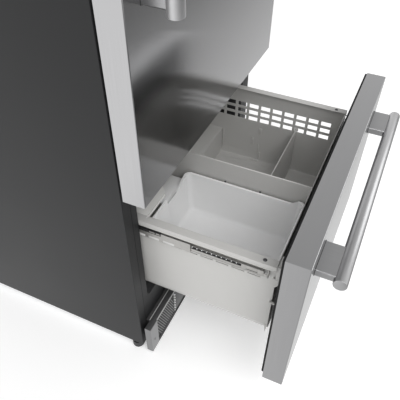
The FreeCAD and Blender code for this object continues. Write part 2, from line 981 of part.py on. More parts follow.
def centre_hinge():
    """Steel bracket on the front flange between the door and the drawer, with the door's lower pin."""
    right = pivot_x + hinge_arm_half
    left = right - hinge_arm_width
    front = pivot_y - hinge_arm_half
    arm_top = door_bottom - (case_top - door_top)
    arm = block(left, right, front, case_front, arm_top - hinge_plate, arm_top)
    corners = [edge for edge in edges_along(arm, "z") if edge.BoundBox.YMax < pivot_y]
    arm = arm.makeChamfer(hinge_corner, corners)
    flange_front = case_front - hinge_flange_sheet
    flange = block(left, right, flange_front, case_front, drawer_front_top, arm_top)
    collar_top = door_bottom - running_gap
    collar = many_sided("z", pivot_x, pivot_y, hinge_collar_radius, arm_top, collar_top, tube_sides)
    pin_top = door_bottom + hinge_pin_length
    pin = rod("z", (pivot_x, pivot_y, arm_top), hinge_pin_radius, pin_top - arm_top)
    return joined(arm, [flange, collar, pin])


# Toe grille

def toe_grille():
    """Bright frame of the toe grille: two deep ends joined by thin edges, on brackets from the stiles."""
    front = front_y + grille_front
    back = front_y + grille_back
    field = grille_half_length - grille_end
    frame = block(-grille_half_length, grille_half_length, front, back, grille_bottom, grille_top)
    window = block(-field, field, front, back, grille_bottom + grille_edge, grille_top - grille_edge)
    behind = block(-field, field, front + grille_edge, back, grille_bottom, grille_top)
    brackets = []
    for side in (-1, 1):
        outer = side * (grille_half_length - grille_bracket_inset)
        inner = outer - side * grille_bracket_width
        low = min(outer, inner)
        top = grille_bracket_bottom + grille_bracket_height
        brackets.append(block(low, low + grille_bracket_width, back, case_front, grille_bracket_bottom, top))
    return joined(frame.cut([window, behind]), brackets)


def grille_louvres():
    """Dark channel between the grille's ends, cut with fields of leaning slots."""
    front = front_y + grille_front + grille_edge
    back = front_y + grille_back
    field = grille_half_length - grille_end
    channel = block(-field, field, front, back, grille_bottom, grille_top)
    low = grille_bottom + louvre_sheet
    high = grille_top - louvre_sheet
    hollow = block(-field + louvre_sheet, field - louvre_sheet, front + louvre_sheet, back, low, high)
    lean = (louvre_top - louvre_bottom) * math.tan(math.radians(louvre_lean))
    field_pitch = (2 * field) / louvre_fields
    per_field = int((field_pitch - 2 * louvre_rib - lean) / louvre_pitch)
    slots = []
    for number in range(louvre_fields):
        start = -field + number * field_pitch + louvre_rib
        for index in range(per_field):
            left = start + index * louvre_pitch
            outline = [
                (left, louvre_top),
                (left + louvre_slot, louvre_top),
                (left + louvre_slot + lean, louvre_bottom),
                (left + lean, louvre_bottom),
            ]
            slots.append(extrude(outline, "y", front, front + louvre_sheet))
    return channel.cut([hollow] + slots)


# Fronts shared by the door and the drawer

def front_skin(bottom, top):
    """Stainless skin: a folded front with four sides, open at the back."""
    shell = block(-half_width, half_width, front_y, door_back, bottom, top)
    shell = shell.makeFillet(skin_round, edges_at(shell, "y", front_y))
    half = half_width - skin_sheet
    hollow = block(-half, half, front_y + skin_sheet, door_back, bottom + skin_sheet, top - skin_sheet)
    return shell.cut(hollow)


def front_core(bottom, top):
    """Insulated core that fills a stainless skin up to its back face."""
    half = half_width - skin_sheet
    front = front_y + skin_sheet
    return block(-half, half, front, door_back, bottom + skin_sheet, top - skin_sheet)


def seal(half, bottom, top, width):
    """A flat gasket ring on the back of a front."""
    back = door_back + seal_thickness
    outer = rounded_block(-half, half, door_back, back, bottom, top, "y", seal_corner)
    inner = block(-half + width, half - width, door_back, back, bottom + width, top - width)
    return outer.cut(inner)


def bar(axis, x, z):
    """A round bar handle with flat ends, centred on a point in front of the closed fronts."""
    radius = handle_diameter / 2
    y = front_y - handle_reach
    start = {"x": (x - handle_length / 2, y, z), "z": (x, y, z - handle_length / 2)}[axis]
    return rod(axis, start, radius, handle_length)


def posts(axis, x, z):
    """The two flat posts that carry a bar handle, shaped to its round back."""
    axis_y = front_y - handle_reach
    tube = bar(axis, x, z)
    pieces = []
    for side in (-1, 1):
        if axis == "x":
            along = x + side * post_spacing / 2
            half_x = post_width / 2
            half_z = post_height / 2
            post = block(along - half_x, along + half_x, axis_y, front_y, z - half_z, z + half_z)
        else:
            along = z + side * post_spacing / 2
            half_x = post_height / 2
            half_z = post_width / 2
            post = block(x - half_x, x + half_x, axis_y, front_y, along - half_z, along + half_z)
        post = post.makeChamfer(post_bevel, edges_along(post, "y"))
        pieces.append(post.cut(tube))
    return Part.makeCompound(pieces)


# Upper door

def hinge_hole(level, length, gap):
    """Room for a hinge pin at one level of the door."""
    return rod("z", (pivot_x, pivot_y, level), hinge_pin_radius + gap, length)


def door_skin():
    """Stainless skin of the upper door with a hole for each hinge pin."""
    holes = [
        hinge_hole(door_bottom, skin_sheet, shaft_clearance),
        hinge_hole(door_top - skin_sheet, skin_sheet, shaft_clearance),
    ]
    return front_skin(door_bottom, door_top).cut(holes)


def door_liner():
    """Insulated core of the upper door with the raised ring that carries its bins."""
    core = front_core(door_bottom, door_top)
    back = door_back + dike_depth
    low = door_bottom + dike_bottom
    high = door_top - dike_top
    ring = rounded_block(-dike_half_width, dike_half_width, door_back, back, low, high, "y", dike_corner)
    half = dike_half_width - dike_width
    ring = ring.cut(block(-half, half, door_back, back, low + dike_width, high - dike_width))
    depth = hinge_pin_length + hinge_pin_relief
    holes = [
        hinge_hole(door_bottom, depth, hinge_pin_relief),
        hinge_hole(door_top - depth, depth, hinge_pin_relief),
    ]
    return joined(core, [ring]).cut(holes)


def door_bins():
    """Three open bins that sit between the sides of the raised ring."""
    half = dike_half_width - dike_width
    pieces = []
    for index in range(door_bin_count):
        low = door_bottom + door_bin_first + index * door_bin_pitch
        high = low + door_bin_height
        tub = open_tub(
            -half, half, door_back, door_back + door_bin_depth, low, high,
            door_bin_wall, door_bin_draft, door_bin_corner)
        pieces.append(tub)
    return Part.makeCompound(pieces)


# Freezer drawer, drawn closed and then pulled out

def drawer_liner():
    """Insulated core of the drawer front with the tapered plug that enters the freezer."""
    core = front_core(drawer_front_bottom, drawer_front_top)
    low = drawer_front_bottom + plug_bottom
    high = drawer_front_top - plug_top
    half = half_width - plug_side
    outline = [
        (-half, door_back),
        (half, door_back),
        (half - plug_taper, plug_back),
        (-half + plug_taper, plug_back),
    ]
    return joined(core, [extrude(outline, "z", low, high)])


def slot_pattern(rows):
    """Rows of vent slots through the right-hand side wall."""
    slots = []
    for row in range(rows):
        high = box_top - slot_top_drop - row * slot_row_pitch
        for column in range(slot_columns):
            front = plug_back + slot_from_front + column * slot_pitch
            slots.append(block(
                box_half - box_sheet, box_half, front, front + slot_length, high - slot_height, high))
    return slots


def bend_corners(radius):
    """The corners of a quarter turn from the right-hand wall into the floor."""
    corners = []
    for index in range(bend_flats + 1):
        angle = math.radians(RIGHT_ANGLE * index / bend_flats)
        corners.append((bend_middle + radius * math.cos(angle), bend_top - radius * math.sin(angle)))
    return corners


def drawer_side(rows):
    """Right-hand side wall with vent slots, a turned-out ledge and a lower edge bent into the floor."""
    under_step = step_top - box_sheet
    outline = [
        (plug_back, bend_top),
        (box_step + box_sheet, bend_top),
        (box_step + box_sheet, under_step),
        (box_back, under_step),
        (box_back, box_top),
        (plug_back, box_top),
    ]
    wall = extrude(outline, "x", box_half - box_sheet, box_half).cut(slot_pattern(rows))
    inside = box_half - box_sheet - ledge_inside
    outside = box_half + ledge_outside
    profile = [
        (inside, box_top),
        (outside, box_top),
        (outside, box_top - ledge_lip),
        (outside - box_sheet, box_top - ledge_lip),
        (outside - box_sheet, box_top - box_sheet),
        (inside, box_top - box_sheet),
    ]
    ledge = extrude(profile, "y", plug_back, box_back)
    curve = bend_corners(box_bend) + bend_corners(box_bend - box_sheet)[::-1]
    bend = extrude(curve, "y", plug_back, box_step + box_sheet)
    return joined(wall, [ledge, bend])


def bin_support():
    """Strip inside the right-hand wall that a bin's rim hangs on."""
    wall = box_half - box_sheet
    reach = bin_left_gap + bin_rim - bin_support_gap
    return block(
        wall - reach, wall, bin_front + bin_corner, bin_back - bin_corner, support_bottom, support_top)


def box_section(top):
    """The drawer's inside across its width, with the lower corners bent."""
    half = box_half - box_sheet
    bend = bend_corners(box_bend - box_sheet)
    other_side = [(-x, z) for x, z in bend[::-1]]
    return [(half, top)] + bend + other_side + [(-half, top)]


def drawer_tray(sides):
    """Front wall, floor, step over the hump and rear wall of the drawer."""
    sheet = box_sheet
    half = box_half - sheet
    under_step = step_top - sheet
    front = extrude(box_section(box_top), "y", plug_back, plug_back + sheet)
    riser = extrude(box_section(step_top), "y", box_step, box_step + sheet)
    floor = block(-bend_middle, bend_middle, plug_back, box_step + sheet, box_bottom, box_floor)
    step = block(-half, half, box_step, box_back, under_step, step_top)
    rear = block(-half, half, box_back - sheet, box_back, under_step, box_top)
    return joined(front, [floor, riser, step, rear]).cut(sides)


def centre_wall():
    """Upright wall that parts the drawer into two halves, with two clips for the bin's rim."""
    outline = [
        (plug_back + box_sheet, box_floor),
        (box_step, box_floor),
        (box_step, step_top),
        (box_back - box_sheet, step_top),
        (box_back - box_sheet, box_top),
        (plug_back + box_sheet, box_top),
    ]
    half = box_sheet / 2
    wall = extrude(outline, "x", centre_wall_x - half, centre_wall_x + half)
    left = centre_wall_x - half - bin_right_gap - bin_rim + bin_support_gap
    clips = []
    for place in bin_clip_places:
        front = plug_back + place - bin_clip_width / 2
        clips.append(block(
            left, centre_wall_x - half, front, front + bin_clip_width, support_bottom, support_top))
    return joined(wall, clips)


def rear_rail(sides):
    """Ledge behind the bin, deeper at the side wall, where its front edge turns down."""
    left = -(box_half - box_sheet)
    right = centre_wall_x - box_sheet / 2
    back = box_back - box_sheet
    front = back - rail_reach_left
    notch = left + rail_deep_width
    plan = [
        (left, front),
        (notch, front),
        (notch + rail_notch_run, back - rail_reach_right),
        (right, back - rail_reach_right),
        (right, back),
        (left, back),
    ]
    plate = extrude(plan, "z", box_top - box_sheet, box_top)
    lip = block(left, notch, front, front + box_sheet, box_top - rail_lip, box_top)
    return joined(plate, [lip]).cut(sides)


def drawer_divider():
    """Movable cross divider in the right half, with a tab in one of the side wall's slots."""
    front = plug_back + divider_from_front
    back = front + divider_sheet
    left = centre_wall_x + box_sheet / 2
    right = box_half - box_sheet
    top = box_top - divider_top_drop
    plate = extrude(box_section(top), "y", front, back)
    plate = plate.common(block(left, right, front, back, box_floor, top))
    middle = (front + back) / 2
    half = divider_tab_width / 2
    tab_top = box_top - divider_tab_drop
    reach = box_half + divider_tab_reach
    tab = block(right, reach, middle - half, middle + half, tab_top - divider_tab_height, tab_top)
    return joined(plate, [tab])


def storage_bin():
    """Lift-out bin that hangs by its rim, with a hand scoop and a flange in its back edge."""
    left = -(box_half - box_sheet) + bin_left_gap
    right = centre_wall_x - box_sheet / 2 - bin_right_gap
    low = bin_top - bin_depth
    rim = bin_rim
    tub = open_tub(
        left + rim, right - rim, bin_front + rim, bin_back - rim, low, bin_top,
        bin_wall, bin_draft, bin_corner - rim)
    lip = tapered_tub(left, right, bin_front, bin_back, bin_top - bin_rim_height, bin_top, 0, bin_corner)
    inner = rim + bin_wall
    hole = tapered_tub(
        left + inner, right - inner, bin_front + inner, bin_back - inner,
        bin_top - bin_rim_height, bin_top, 0, bin_corner - inner)
    scoop_right = right - bin_scoop_from_right
    scoop_left = scoop_right - bin_scoop_width
    scoop_low = bin_top - bin_scoop_depth
    scoop = [
        (scoop_left, bin_top),
        (scoop_left, scoop_low),
        (scoop_right - bin_scoop_slope, scoop_low),
        (scoop_right, bin_top),
    ]
    notch = extrude(scoop, "y", bin_back - bin_corner, bin_back)
    shell = joined(tub, [lip.cut(hole)]).cut(notch)
    drafted = bin_draft * (bin_scoop_depth + bin_wall) / bin_depth
    flange_front = bin_back - rim - drafted - bin_wall / 2
    flange = block(
        scoop_left, right - bin_corner, flange_front, bin_back + bin_flange_reach,
        scoop_low - bin_wall, scoop_low)
    return joined(shell, [flange])


# Telescopic slides, drawn on the right-hand side

def channel(web_x, lip_direction, lip, height):
    """One slide member: an upright web with a lip along its top and bottom."""
    x0 = min(web_x, web_x + lip_direction * lip)
    x1 = max(web_x, web_x + lip_direction * lip)
    low = slide_level - height / 2
    high = slide_level + height / 2
    front = plug_back + slide_start
    back = front + slide_length
    body = block(x0, x1, front, back, low, high)
    web = web_x + lip_direction * slide_sheet
    h0 = min(web, web_x + lip_direction * lip)
    h1 = max(web, web_x + lip_direction * lip)
    return body.cut(block(h0, h1, front, back, low + slide_sheet, high - slide_sheet))


def slide_outer():
    """Slide member on the freezer wall."""
    return channel(opening_half, -1, slide_outer_lip, slide_outer_height)


def slide_middle():
    """Slide member that runs between the other two."""
    web = opening_half - slide_sheet - running_gap
    return channel(web, -1, slide_middle_lip, slide_middle_height)


def slide_inner():
    """Slide member on the drawer's side wall, with its closed side outwards."""
    reach = opening_half - box_half - 2 * slide_sheet - 2 * running_gap
    return channel(box_half + reach, -1, reach, slide_inner_height)


# Fresh-food space

def glass_shelf(level):
    """A glass pane on the side ledges."""
    half = opening_half - shelf_side_gap
    front = frame_back + shelf_setback
    return block(-half, half, front, front + shelf_depth, level, level + shelf_glass)


def crisper():
    """Right-hand crisper drawer with a grip along its front rim."""
    left = crisper_middle_gap
    right = opening_half - crisper_side_gap
    front = case_front + crisper_setback
    low = fridge_floor + running_gap
    high = low + crisper_height
    tub = open_tub(
        left, right, front, front + crisper_depth, low, high, crisper_wall, crisper_draft, crisper_corner)
    grip = [
        (front + crisper_wall, high),
        (front - crisper_grip_reach, high),
        (front - crisper_grip_reach, high - crisper_grip_height),
        (front - crisper_grip_reach + crisper_wall, high - crisper_grip_height),
        (front - crisper_grip_reach + crisper_wall, high - crisper_wall),
        (front + crisper_wall, high - crisper_wall),
    ]
    return joined(tub, [extrude(grip, "x", left + crisper_corner, right - crisper_corner)])


def control_panel():
    """Control housing under the ceiling with a sloped front."""
    front = case_front + panel_setback
    back = front + panel_depth
    low = fridge_ceiling - panel_height
    outline = [
        (front, fridge_ceiling),
        (front, fridge_ceiling - panel_height / 2),
        (front + panel_slope, low),
        (back, low),
        (back, fridge_ceiling),
    ]
    return extrude(outline, "x", -panel_half_width, panel_half_width)


def air_duct():
    """Air tower on the back wall with a row of outlets."""
    front = liner_back - duct_depth
    tower = block(-duct_half_width, duct_half_width, front, liner_back, duct_bottom, duct_top)
    tower = tower.makeChamfer(duct_corner, edges_at(tower, "y", front))
    slots = []
    for index in range(duct_slot_count):
        low = duct_bottom + duct_slot_start + index * duct_slot_pitch
        half = duct_slot_width / 2
        slots.append(block(-half, half, front, front + duct_slot_depth, low, low + duct_slot_height))
    return tower.cut(slots)


def main():
    os.makedirs("parts", exist_ok=True)
    right_panel = side_panel()
    left_panel = mirrored(right_panel)
    panels = Part.makeCompound([left_panel, right_panel])

    save("side_panel_left", left_panel)
    save("side_panel_right", right_panel)
    save("top_panel", top_panel(panels))
    save("back_panel", back_panel())
    save("front_frame", front_frame())
    save("foam_body", foam_body(panels))
    save("fridge_liner", fridge_liner())
    save("freezer_liner", freezer_liner())
    save("machine_wall", machine_wall(panels))
    save("base_pan", base_pan(panels))

    save("levelling_leg_right", levelling_leg())
    save("levelling_leg_left", mirrored(levelling_leg()))
    save("roller_right", roller())
    save("roller_left", mirrored(roller()))

    save("compressor", compressor())
    save("condenser", condenser())
    save("drip_tray", drip_tray())
    save("condenser_fan", condenser_fan())
    save("condenser_fan_motor", condenser_fan_motor())
    save("rear_cover", rear_cover())
    save("evaporator", evaporator())
    save("evaporator_cover", evaporator_cover())
    save("evaporator_fan", evaporator_fan())
    save("evaporator_fan_motor", evaporator_fan_motor())

    save("top_hinge", top_hinge())
    save("hinge_cover", hinge_cover())
    save("centre_hinge", centre_hinge())
    save("toe_grille", toe_grille())
    save("grille_louvres", grille_louvres())

    for name, level in shelf_levels.items():
        save(name, glass_shelf(level))
    save("crisper_right", crisper())
    save("crisper_left", mirrored(crisper()))
    save("control_panel", control_panel())
    save("air_duct", air_duct())

    door_handle_x = -half_width + door_handle_inset
    save("door_skin", door_skin())
    save("door_liner", door_liner())
    door_seal_half = half_width - door_seal_inset
    door_seal_bottom = door_bottom + door_seal_end
    door_seal_top = door_top - door_seal_end
    save("door_gasket", seal(door_seal_half, door_seal_bottom, door_seal_top, door_seal_width))
    save("door_handle", bar("z", door_handle_x, door_handle_middle))
    save("door_handle_posts", posts("z", door_handle_x, door_handle_middle))
    save("door_bins", door_bins())

    right_wall = drawer_side(right_slot_rows)
    left_wall = mirrored(joined(drawer_side(left_slot_rows), [bin_support()]))
    walls = Part.makeCompound([left_wall, right_wall])
    seal_half = half_width - drawer_seal_inset
    seal_bottom = drawer_front_bottom + drawer_seal_bottom
    seal_top = drawer_front_top - drawer_seal_top
    drawer = {
        "drawer_skin": front_skin(drawer_front_bottom, drawer_front_top),
        "drawer_liner": drawer_liner(),
        "drawer_gasket": seal(seal_half, seal_bottom, seal_top, drawer_seal_width),
        "drawer_handle": bar("x", 0, drawer_handle_level),
        "drawer_handle_posts": posts("x", 0, drawer_handle_level),
        "drawer_side_left": left_wall,
        "drawer_side_right": right_wall,
        "drawer_tray": drawer_tray(walls),
        "centre_wall": centre_wall(),
        "rear_rail": rear_rail(walls),
        "drawer_divider": drawer_divider(),
        "storage_bin": storage_bin(),
        "slide_inner_left": mirrored(slide_inner()),
        "slide_inner_right": slide_inner(),
    }
    for name, shape in drawer.items():
        save(name, moved(shape, -drawer_travel))
    save("slide_middle_left", moved(mirrored(slide_middle()), -drawer_travel * middle_share))
    save("slide_middle_right", moved(slide_middle(), -drawer_travel * middle_share))
    save("slide_outer_left", mirrored(slide_outer()))
    save("slide_outer_right", slide_outer())


main()
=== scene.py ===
"""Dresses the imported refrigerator: finishes for every solid and finer pieces where the eye rests."""

import math

import bmesh
import bpy
from bpy.props import FloatProperty, FloatVectorProperty, IntProperty, PointerProperty
from mathutils import Matrix, Vector


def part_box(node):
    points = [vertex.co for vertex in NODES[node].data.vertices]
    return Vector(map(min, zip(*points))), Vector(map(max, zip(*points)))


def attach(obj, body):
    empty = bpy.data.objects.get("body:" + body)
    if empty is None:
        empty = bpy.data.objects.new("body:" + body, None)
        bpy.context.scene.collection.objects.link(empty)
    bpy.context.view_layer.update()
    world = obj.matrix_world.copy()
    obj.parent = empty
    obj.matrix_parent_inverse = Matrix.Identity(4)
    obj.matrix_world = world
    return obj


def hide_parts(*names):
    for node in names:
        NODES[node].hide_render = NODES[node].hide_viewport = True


bl_info = {
    "name": "Drawer refrigerator",
    "version": (1, 0, 0),
    "blender": (4, 5, 0),
    "location": "View3D > Sidebar > Refrigerator",
    "description": "Builds the looks of a refrigerator with a pull-out freezer drawer",
    "category": "Object",
}

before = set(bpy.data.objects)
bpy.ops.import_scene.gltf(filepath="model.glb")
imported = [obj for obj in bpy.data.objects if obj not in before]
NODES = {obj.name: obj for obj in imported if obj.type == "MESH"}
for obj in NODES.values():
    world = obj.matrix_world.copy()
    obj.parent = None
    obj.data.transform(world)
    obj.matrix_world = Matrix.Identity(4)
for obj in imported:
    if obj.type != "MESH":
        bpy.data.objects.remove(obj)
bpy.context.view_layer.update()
MM = 0.001
QUARTER_TURN = math.pi / 2
FULL_TURN = 2 * math.pi
SMOOTH_LIMIT = math.radians(35.0)
EDGE_LIMIT = math.radians(40.0)
WALL_EDGE_LIMIT = math.radians(50.0)
WHITE = (1.0, 1.0, 1.0)
SIDES = (("left", -1), ("right", 1))

# Colour and roughness of the plain plastics and of the plated steels
PLASTICS = {
    "foam": ((0.62, 0.52, 0.30), 0.8),
    "clip_grey": ((0.06, 0.06, 0.062), 0.4),
    # The bin's rim is whiter than the bin: painted highlight
    "bin_rim_painted_highlight": ((0.96, 0.96, 0.96), 0.2),
    "cage_plastic": ((0.012, 0.012, 0.013), 0.5),
    "retainer_plastic": ((0.006, 0.006, 0.0065), 0.6),
    "pale_patch_plastic": ((0.58, 0.58, 0.57), 0.3),
    "grille_grey": ((0.042, 0.042, 0.043), 0.45),
    "grille_shadow": ((0.014, 0.014, 0.014), 0.6),
    "slat_grey": ((0.105, 0.105, 0.107), 0.4),
    "tooth_grey": ((0.62, 0.62, 0.62), 0.3),
    "grille_black": ((0.050, 0.050, 0.051), 0.42),
    "grille_highlight_line": ((0.50, 0.50, 0.50), 0.3),
    "foot_plastic": ((0.018, 0.018, 0.02), 0.5),
    "fan_plastic": ((0.02, 0.02, 0.021), 0.45),
    "freezer_liner_shade_grey": ((0.035, 0.035, 0.037), 0.45),
    "button_grey": ((0.30, 0.31, 0.32), 0.35),
}
PLATINGS = {
    "zinc": ((0.44, 0.45, 0.46), 0.34),
    "slide_zinc": ((0.48, 0.472, 0.455), 0.36),
    "screw_steel": ((0.13, 0.13, 0.135), 0.3),
    "screw_zinc": ((0.24, 0.24, 0.245), 0.3),
    "ball_steel": ((0.75, 0.75, 0.76), 0.12),
}


# Settings that a user would change

class StageSettings(bpy.types.PropertyGroup):
    """Camera, lamps and floor."""

    eye: FloatVectorProperty(
        name="Eye", description="Place of the camera", subtype="TRANSLATION", unit="LENGTH",
        default=(-0.9697, -0.51685, 1.3036))
    heading: FloatProperty(
        name="Heading", description="Turn of the view from +Y towards +X", subtype="ANGLE",
        default=math.radians(65.36))
    dip: FloatProperty(
        name="Dip", description="How far the view looks below the horizon", subtype="ANGLE",
        default=math.radians(45.86))
    roll: FloatProperty(
        name="Roll", description="Turn of the picture about the view", subtype="ANGLE",
        default=math.radians(0.18))
    lens: FloatProperty(
        name="Lens", description="Focal length on a 36 mm frame, in millimetres", default=43.92)
    rise: FloatProperty(
        name="Vertical shift", description="Shift of the picture as a share of its width", default=0.0457)
    floor_colour: FloatVectorProperty(
        name="Floor", description="Colour of the pale floor", subtype="COLOR", default=(0.93, 0.93, 0.93))
    sky_low: FloatProperty(
        name="Horizon", description="Brightness of the studio at eye level", default=1.05)
    sky_high: FloatProperty(
        name="Ceiling", description="Brightness of the studio overhead", default=0.55)


class FinishSettings(bpy.types.PropertyGroup):
    """Colours of the finishes."""

    stainless: FloatVectorProperty(
        name="Stainless", description="Brushed fronts and handles", subtype="COLOR",
        default=(0.41, 0.41, 0.415))
    case_paint: FloatVectorProperty(
        name="Case paint", description="Dark grey outer panels", subtype="COLOR",
        default=(0.018, 0.0184, 0.0192))
    drawer_plastic: FloatVectorProperty(
        name="Drawer box", description="Light grey walls of the drawer", subtype="COLOR",
        default=(0.52, 0.515, 0.50))
    bin_plastic: FloatVectorProperty(
        name="Bin", description="White lift-out bin", subtype="COLOR", default=(0.80, 0.80, 0.80))
    liner_plastic: FloatVectorProperty(
        name="Liner", description="White inner walls", subtype="COLOR", default=(0.74, 0.74, 0.73))
    seal_rubber: FloatVectorProperty(
        name="Seal", description="Black gaskets", subtype="COLOR", default=(0.006, 0.006, 0.0065))


class DetailSettings(bpy.types.PropertyGroup):
    """Sizes of the finer pieces."""

    edge: FloatProperty(
        name="Edge", description="Round on the sheet-metal edges", unit="LENGTH", default=0.8 * MM)
    bar_steps: IntProperty(name="Bar steps", description="Flats round a handle bar", default=64)
    bin_draft: FloatProperty(
        name="Bin draft", description="How much narrower the bin is at its foot, on each side",
        unit="LENGTH", default=14 * MM)
    bin_corner: FloatProperty(
        name="Bin corner", description="Radius of the bin's upright corners", unit="LENGTH",
        default=15 * MM)
    bin_foot_round: FloatProperty(
        name="Bin foot", description="Radius between the bin's walls and floor", unit="LENGTH",
        default=10 * MM)
    bin_wall: FloatProperty(
        name="Bin wall", description="Thickness of the bin", unit="LENGTH", default=2.4 * MM)
    bin_lip: FloatProperty(
        name="Bin lip", description="Width of the bin's rim", unit="LENGTH", default=6 * MM)
    bin_flange: FloatProperty(
        name="Bin flange", description="Reach of the flange behind the bin's scoop", unit="LENGTH",
        default=28 * MM)
    screw_radius: FloatProperty(
        name="Screw", description="Radius of a screw head", unit="LENGTH", default=4.6 * MM)


# Shader building

class Signal:
    """A node's output that can be used in arithmetic."""

    def __init__(self, nodes, socket):
        self.nodes = nodes
        self.socket = socket

    def _math(self, operation, first, second):
        node = self.nodes.node("ShaderNodeMath", {"operation": operation}, {0: first, 1: second})
        return self.nodes.out(node)

    def __add__(self, other):
        return self._math("ADD", self, other)

    def __radd__(self, other):
        return self._math("ADD", other, self)

    def __mul__(self, other):
        return self._math("MULTIPLY", self, other)

    def __rmul__(self, other):
        return self._math("MULTIPLY", other, self)


class Nodes:
    """The nodes of a material or of the studio's sky."""

    def __init__(self, tree):
        self.tree = tree

    def node(self, kind, options=None, inputs=None):
        """Adds a node, sets its options and then its sockets."""
        made = self.tree.nodes.new(kind)
        for key, value in (options or {}).items():
            if key == "stops":
                for element, (position, level) in zip(made.color_ramp.elements, value):
                    element.position = position
                    element.color = (level, level, level, 1.0)
            else:
                setattr(made, key, value)
        for key, value in (inputs or {}).items():
            self.feed(made, key, value)
        return made

    def out(self, node, output=0):
        """One output of a node."""
        return Signal(self, node.outputs[output])

    def feed(self, node, key, value):
        """Links or sets a socket."""
        if isinstance(value, Signal):
            self.tree.links.new(value.socket, node.inputs[key])
        else:
            node.inputs[key].default_value = value


class Recipe(Nodes):
    """One material and the nodes that make it."""

    def __init__(self, name):
        self.material = bpy.data.materials.new(name)
        self.material.use_nodes = True
        super().__init__(self.material.node_tree)
        self.shader = self.tree.nodes["Principled BSDF"]
        self.place = self.out(self.node("ShaderNodeTexCoord"), "Object")

    def grain(self, stretch, detail, rough):
        """Noise with so many grains per metre, alike on all axes or given for each."""
        if not isinstance(stretch, tuple):
            stretch = (stretch, stretch, stretch)
        mapping = self.node("ShaderNodeMapping", None, {"Vector": self.place, "Scale": stretch})
        noise = self.node("ShaderNodeTexNoise", None, {
            "Vector": self.out(mapping), "Scale": 1.0, "Detail": detail, "Roughness": rough})
        return self.out(noise)

    def ramp(self, value, low, high):
        """A value stretched so that low gives nought and high gives one."""
        node = self.node("ShaderNodeValToRGB", {"stops": ((low, 0.0), (high, 1.0))}, {"Fac": value})
        return self.out(node)

    def mix(self, factor, first, second):
        """A colour between two others."""
        colour_a, colour_b, colour_out = 6, 7, 2
        node = self.node("ShaderNodeMix", {"data_type": "RGBA"}, {
            "Factor": factor, colour_a: rgba(first), colour_b: rgba(second)})
        return self.out(node, colour_out)

    def fade(self, start, end):
        """A value that goes from nought to one along the depth of the room, in metres."""
        split = self.node("ShaderNodeSeparateXYZ", None, {"Vector": self.place})
        node = self.node("ShaderNodeMapRange", None, {
            "Value": self.out(split, "Y"), "From Min": start, "From Max": end})
        return self.out(node)

    def bump(self, height, strength, distance):
        """Relief on the surface."""
        node = self.node("ShaderNodeBump", None, {
            "Height": height, "Strength": strength, "Distance": distance})
        self.feed(self.shader, "Normal", self.out(node))

    def set(self, **values):
        """Sets or links sockets of the surface shader, with underscores for the spaces in their names."""
        for key, value in values.items():
            self.feed(self.shader, key.replace("_", " "), value)
        return self.material


def shade(colour, factor):
    """A colour made lighter or darker."""
    return tuple(min(1.0, part * factor) for part in colour)


def rgba(colour):
    """A colour with full cover."""
    return (*colour, 1.0)


FINISHES = {}


def finish(name, build):
    """A finish that is made once and then shared."""
    if name not in FINISHES:
        FINISHES[name] = build(name)
    return FINISHES[name]


def brushed(colour, along, roughness=0.09, across=900.0):
    """Brushed metal with its grain along one axis."""
    stretch = tuple(5.0 if axis == along else across for axis in "xyz")

    def build(name):
        recipe = Recipe(name)
        streak = recipe.grain(stretch, detail=4.0, rough=0.65)
        cloud = recipe.grain(3.0, detail=2.0, rough=0.5)
        smear = recipe.grain(18.0, detail=3.0, rough=0.6)
        recipe.bump(streak, strength=0.035, distance=0.3 * MM)
        return recipe.set(
            Base_Color=recipe.mix(streak, shade(colour, 0.90), shade(colour, 1.07)),
            Roughness=roughness - 0.04 + 0.07 * streak + 0.04 * cloud + 0.03 * smear,
            Metallic=1.0, Anisotropic=0.95 if along == "z" else 0.2)
    return build


def painted(colour, roughness=0.42, grit=1100.0):
    """Sheet metal with a finely textured paint."""
    def build(name):
        recipe = Recipe(name)
        orange_peel = recipe.grain(grit, detail=2.0, rough=0.5)
        fleck = recipe.ramp(recipe.grain(2600.0, detail=1.0, rough=0.5), 0.55, 0.75)
        handled = recipe.grain(5.0, detail=3.0, rough=0.55)
        recipe.bump(orange_peel, strength=0.22, distance=0.4 * MM)
        return recipe.set(
            Base_Color=recipe.mix(fleck * 0.5 + handled * 0.35, shade(colour, 0.85), shade(colour, 1.35)),
            Roughness=roughness + 0.10 * orange_peel + 0.06 * handled,
            Metallic=0.0, Specular_IOR_Level=0.24)
    return build


def moulded(colour, roughness):
    """Moulded plastic with a faint texture and slight flow marks."""
    def build(name):
        recipe = Recipe(name)
        texture = recipe.grain(700.0, detail=2.0, rough=0.5)
        flow = recipe.grain((6.0, 6.0, 2.5), detail=3.0, rough=0.55)
        dusting = recipe.grain(40.0, detail=4.0, rough=0.6)
        recipe.bump(texture, strength=0.06, distance=0.3 * MM)
        return recipe.set(
            Base_Color=recipe.mix(flow * 0.7 + dusting * 0.3, shade(colour, 0.95), shade(colour, 1.04)),
            Roughness=roughness - 0.04 + 0.08 * flow + 0.06 * texture)
    return build


def rubber(colour):
    """Matt black rubber with a dusty bloom."""
    def build(name):
        recipe = Recipe(name)
        bloom = recipe.grain(60.0, detail=4.0, rough=0.6)
        pores = recipe.grain(1500.0, detail=2.0, rough=0.5)
        recipe.bump(pores, strength=0.15, distance=0.3 * MM)
        return recipe.set(
            Base_Color=recipe.mix(bloom, shade(colour, 0.7), shade(colour, 1.7)),
            Roughness=0.62 + 0.2 * bloom, Specular_IOR_Level=0.25)
    return build


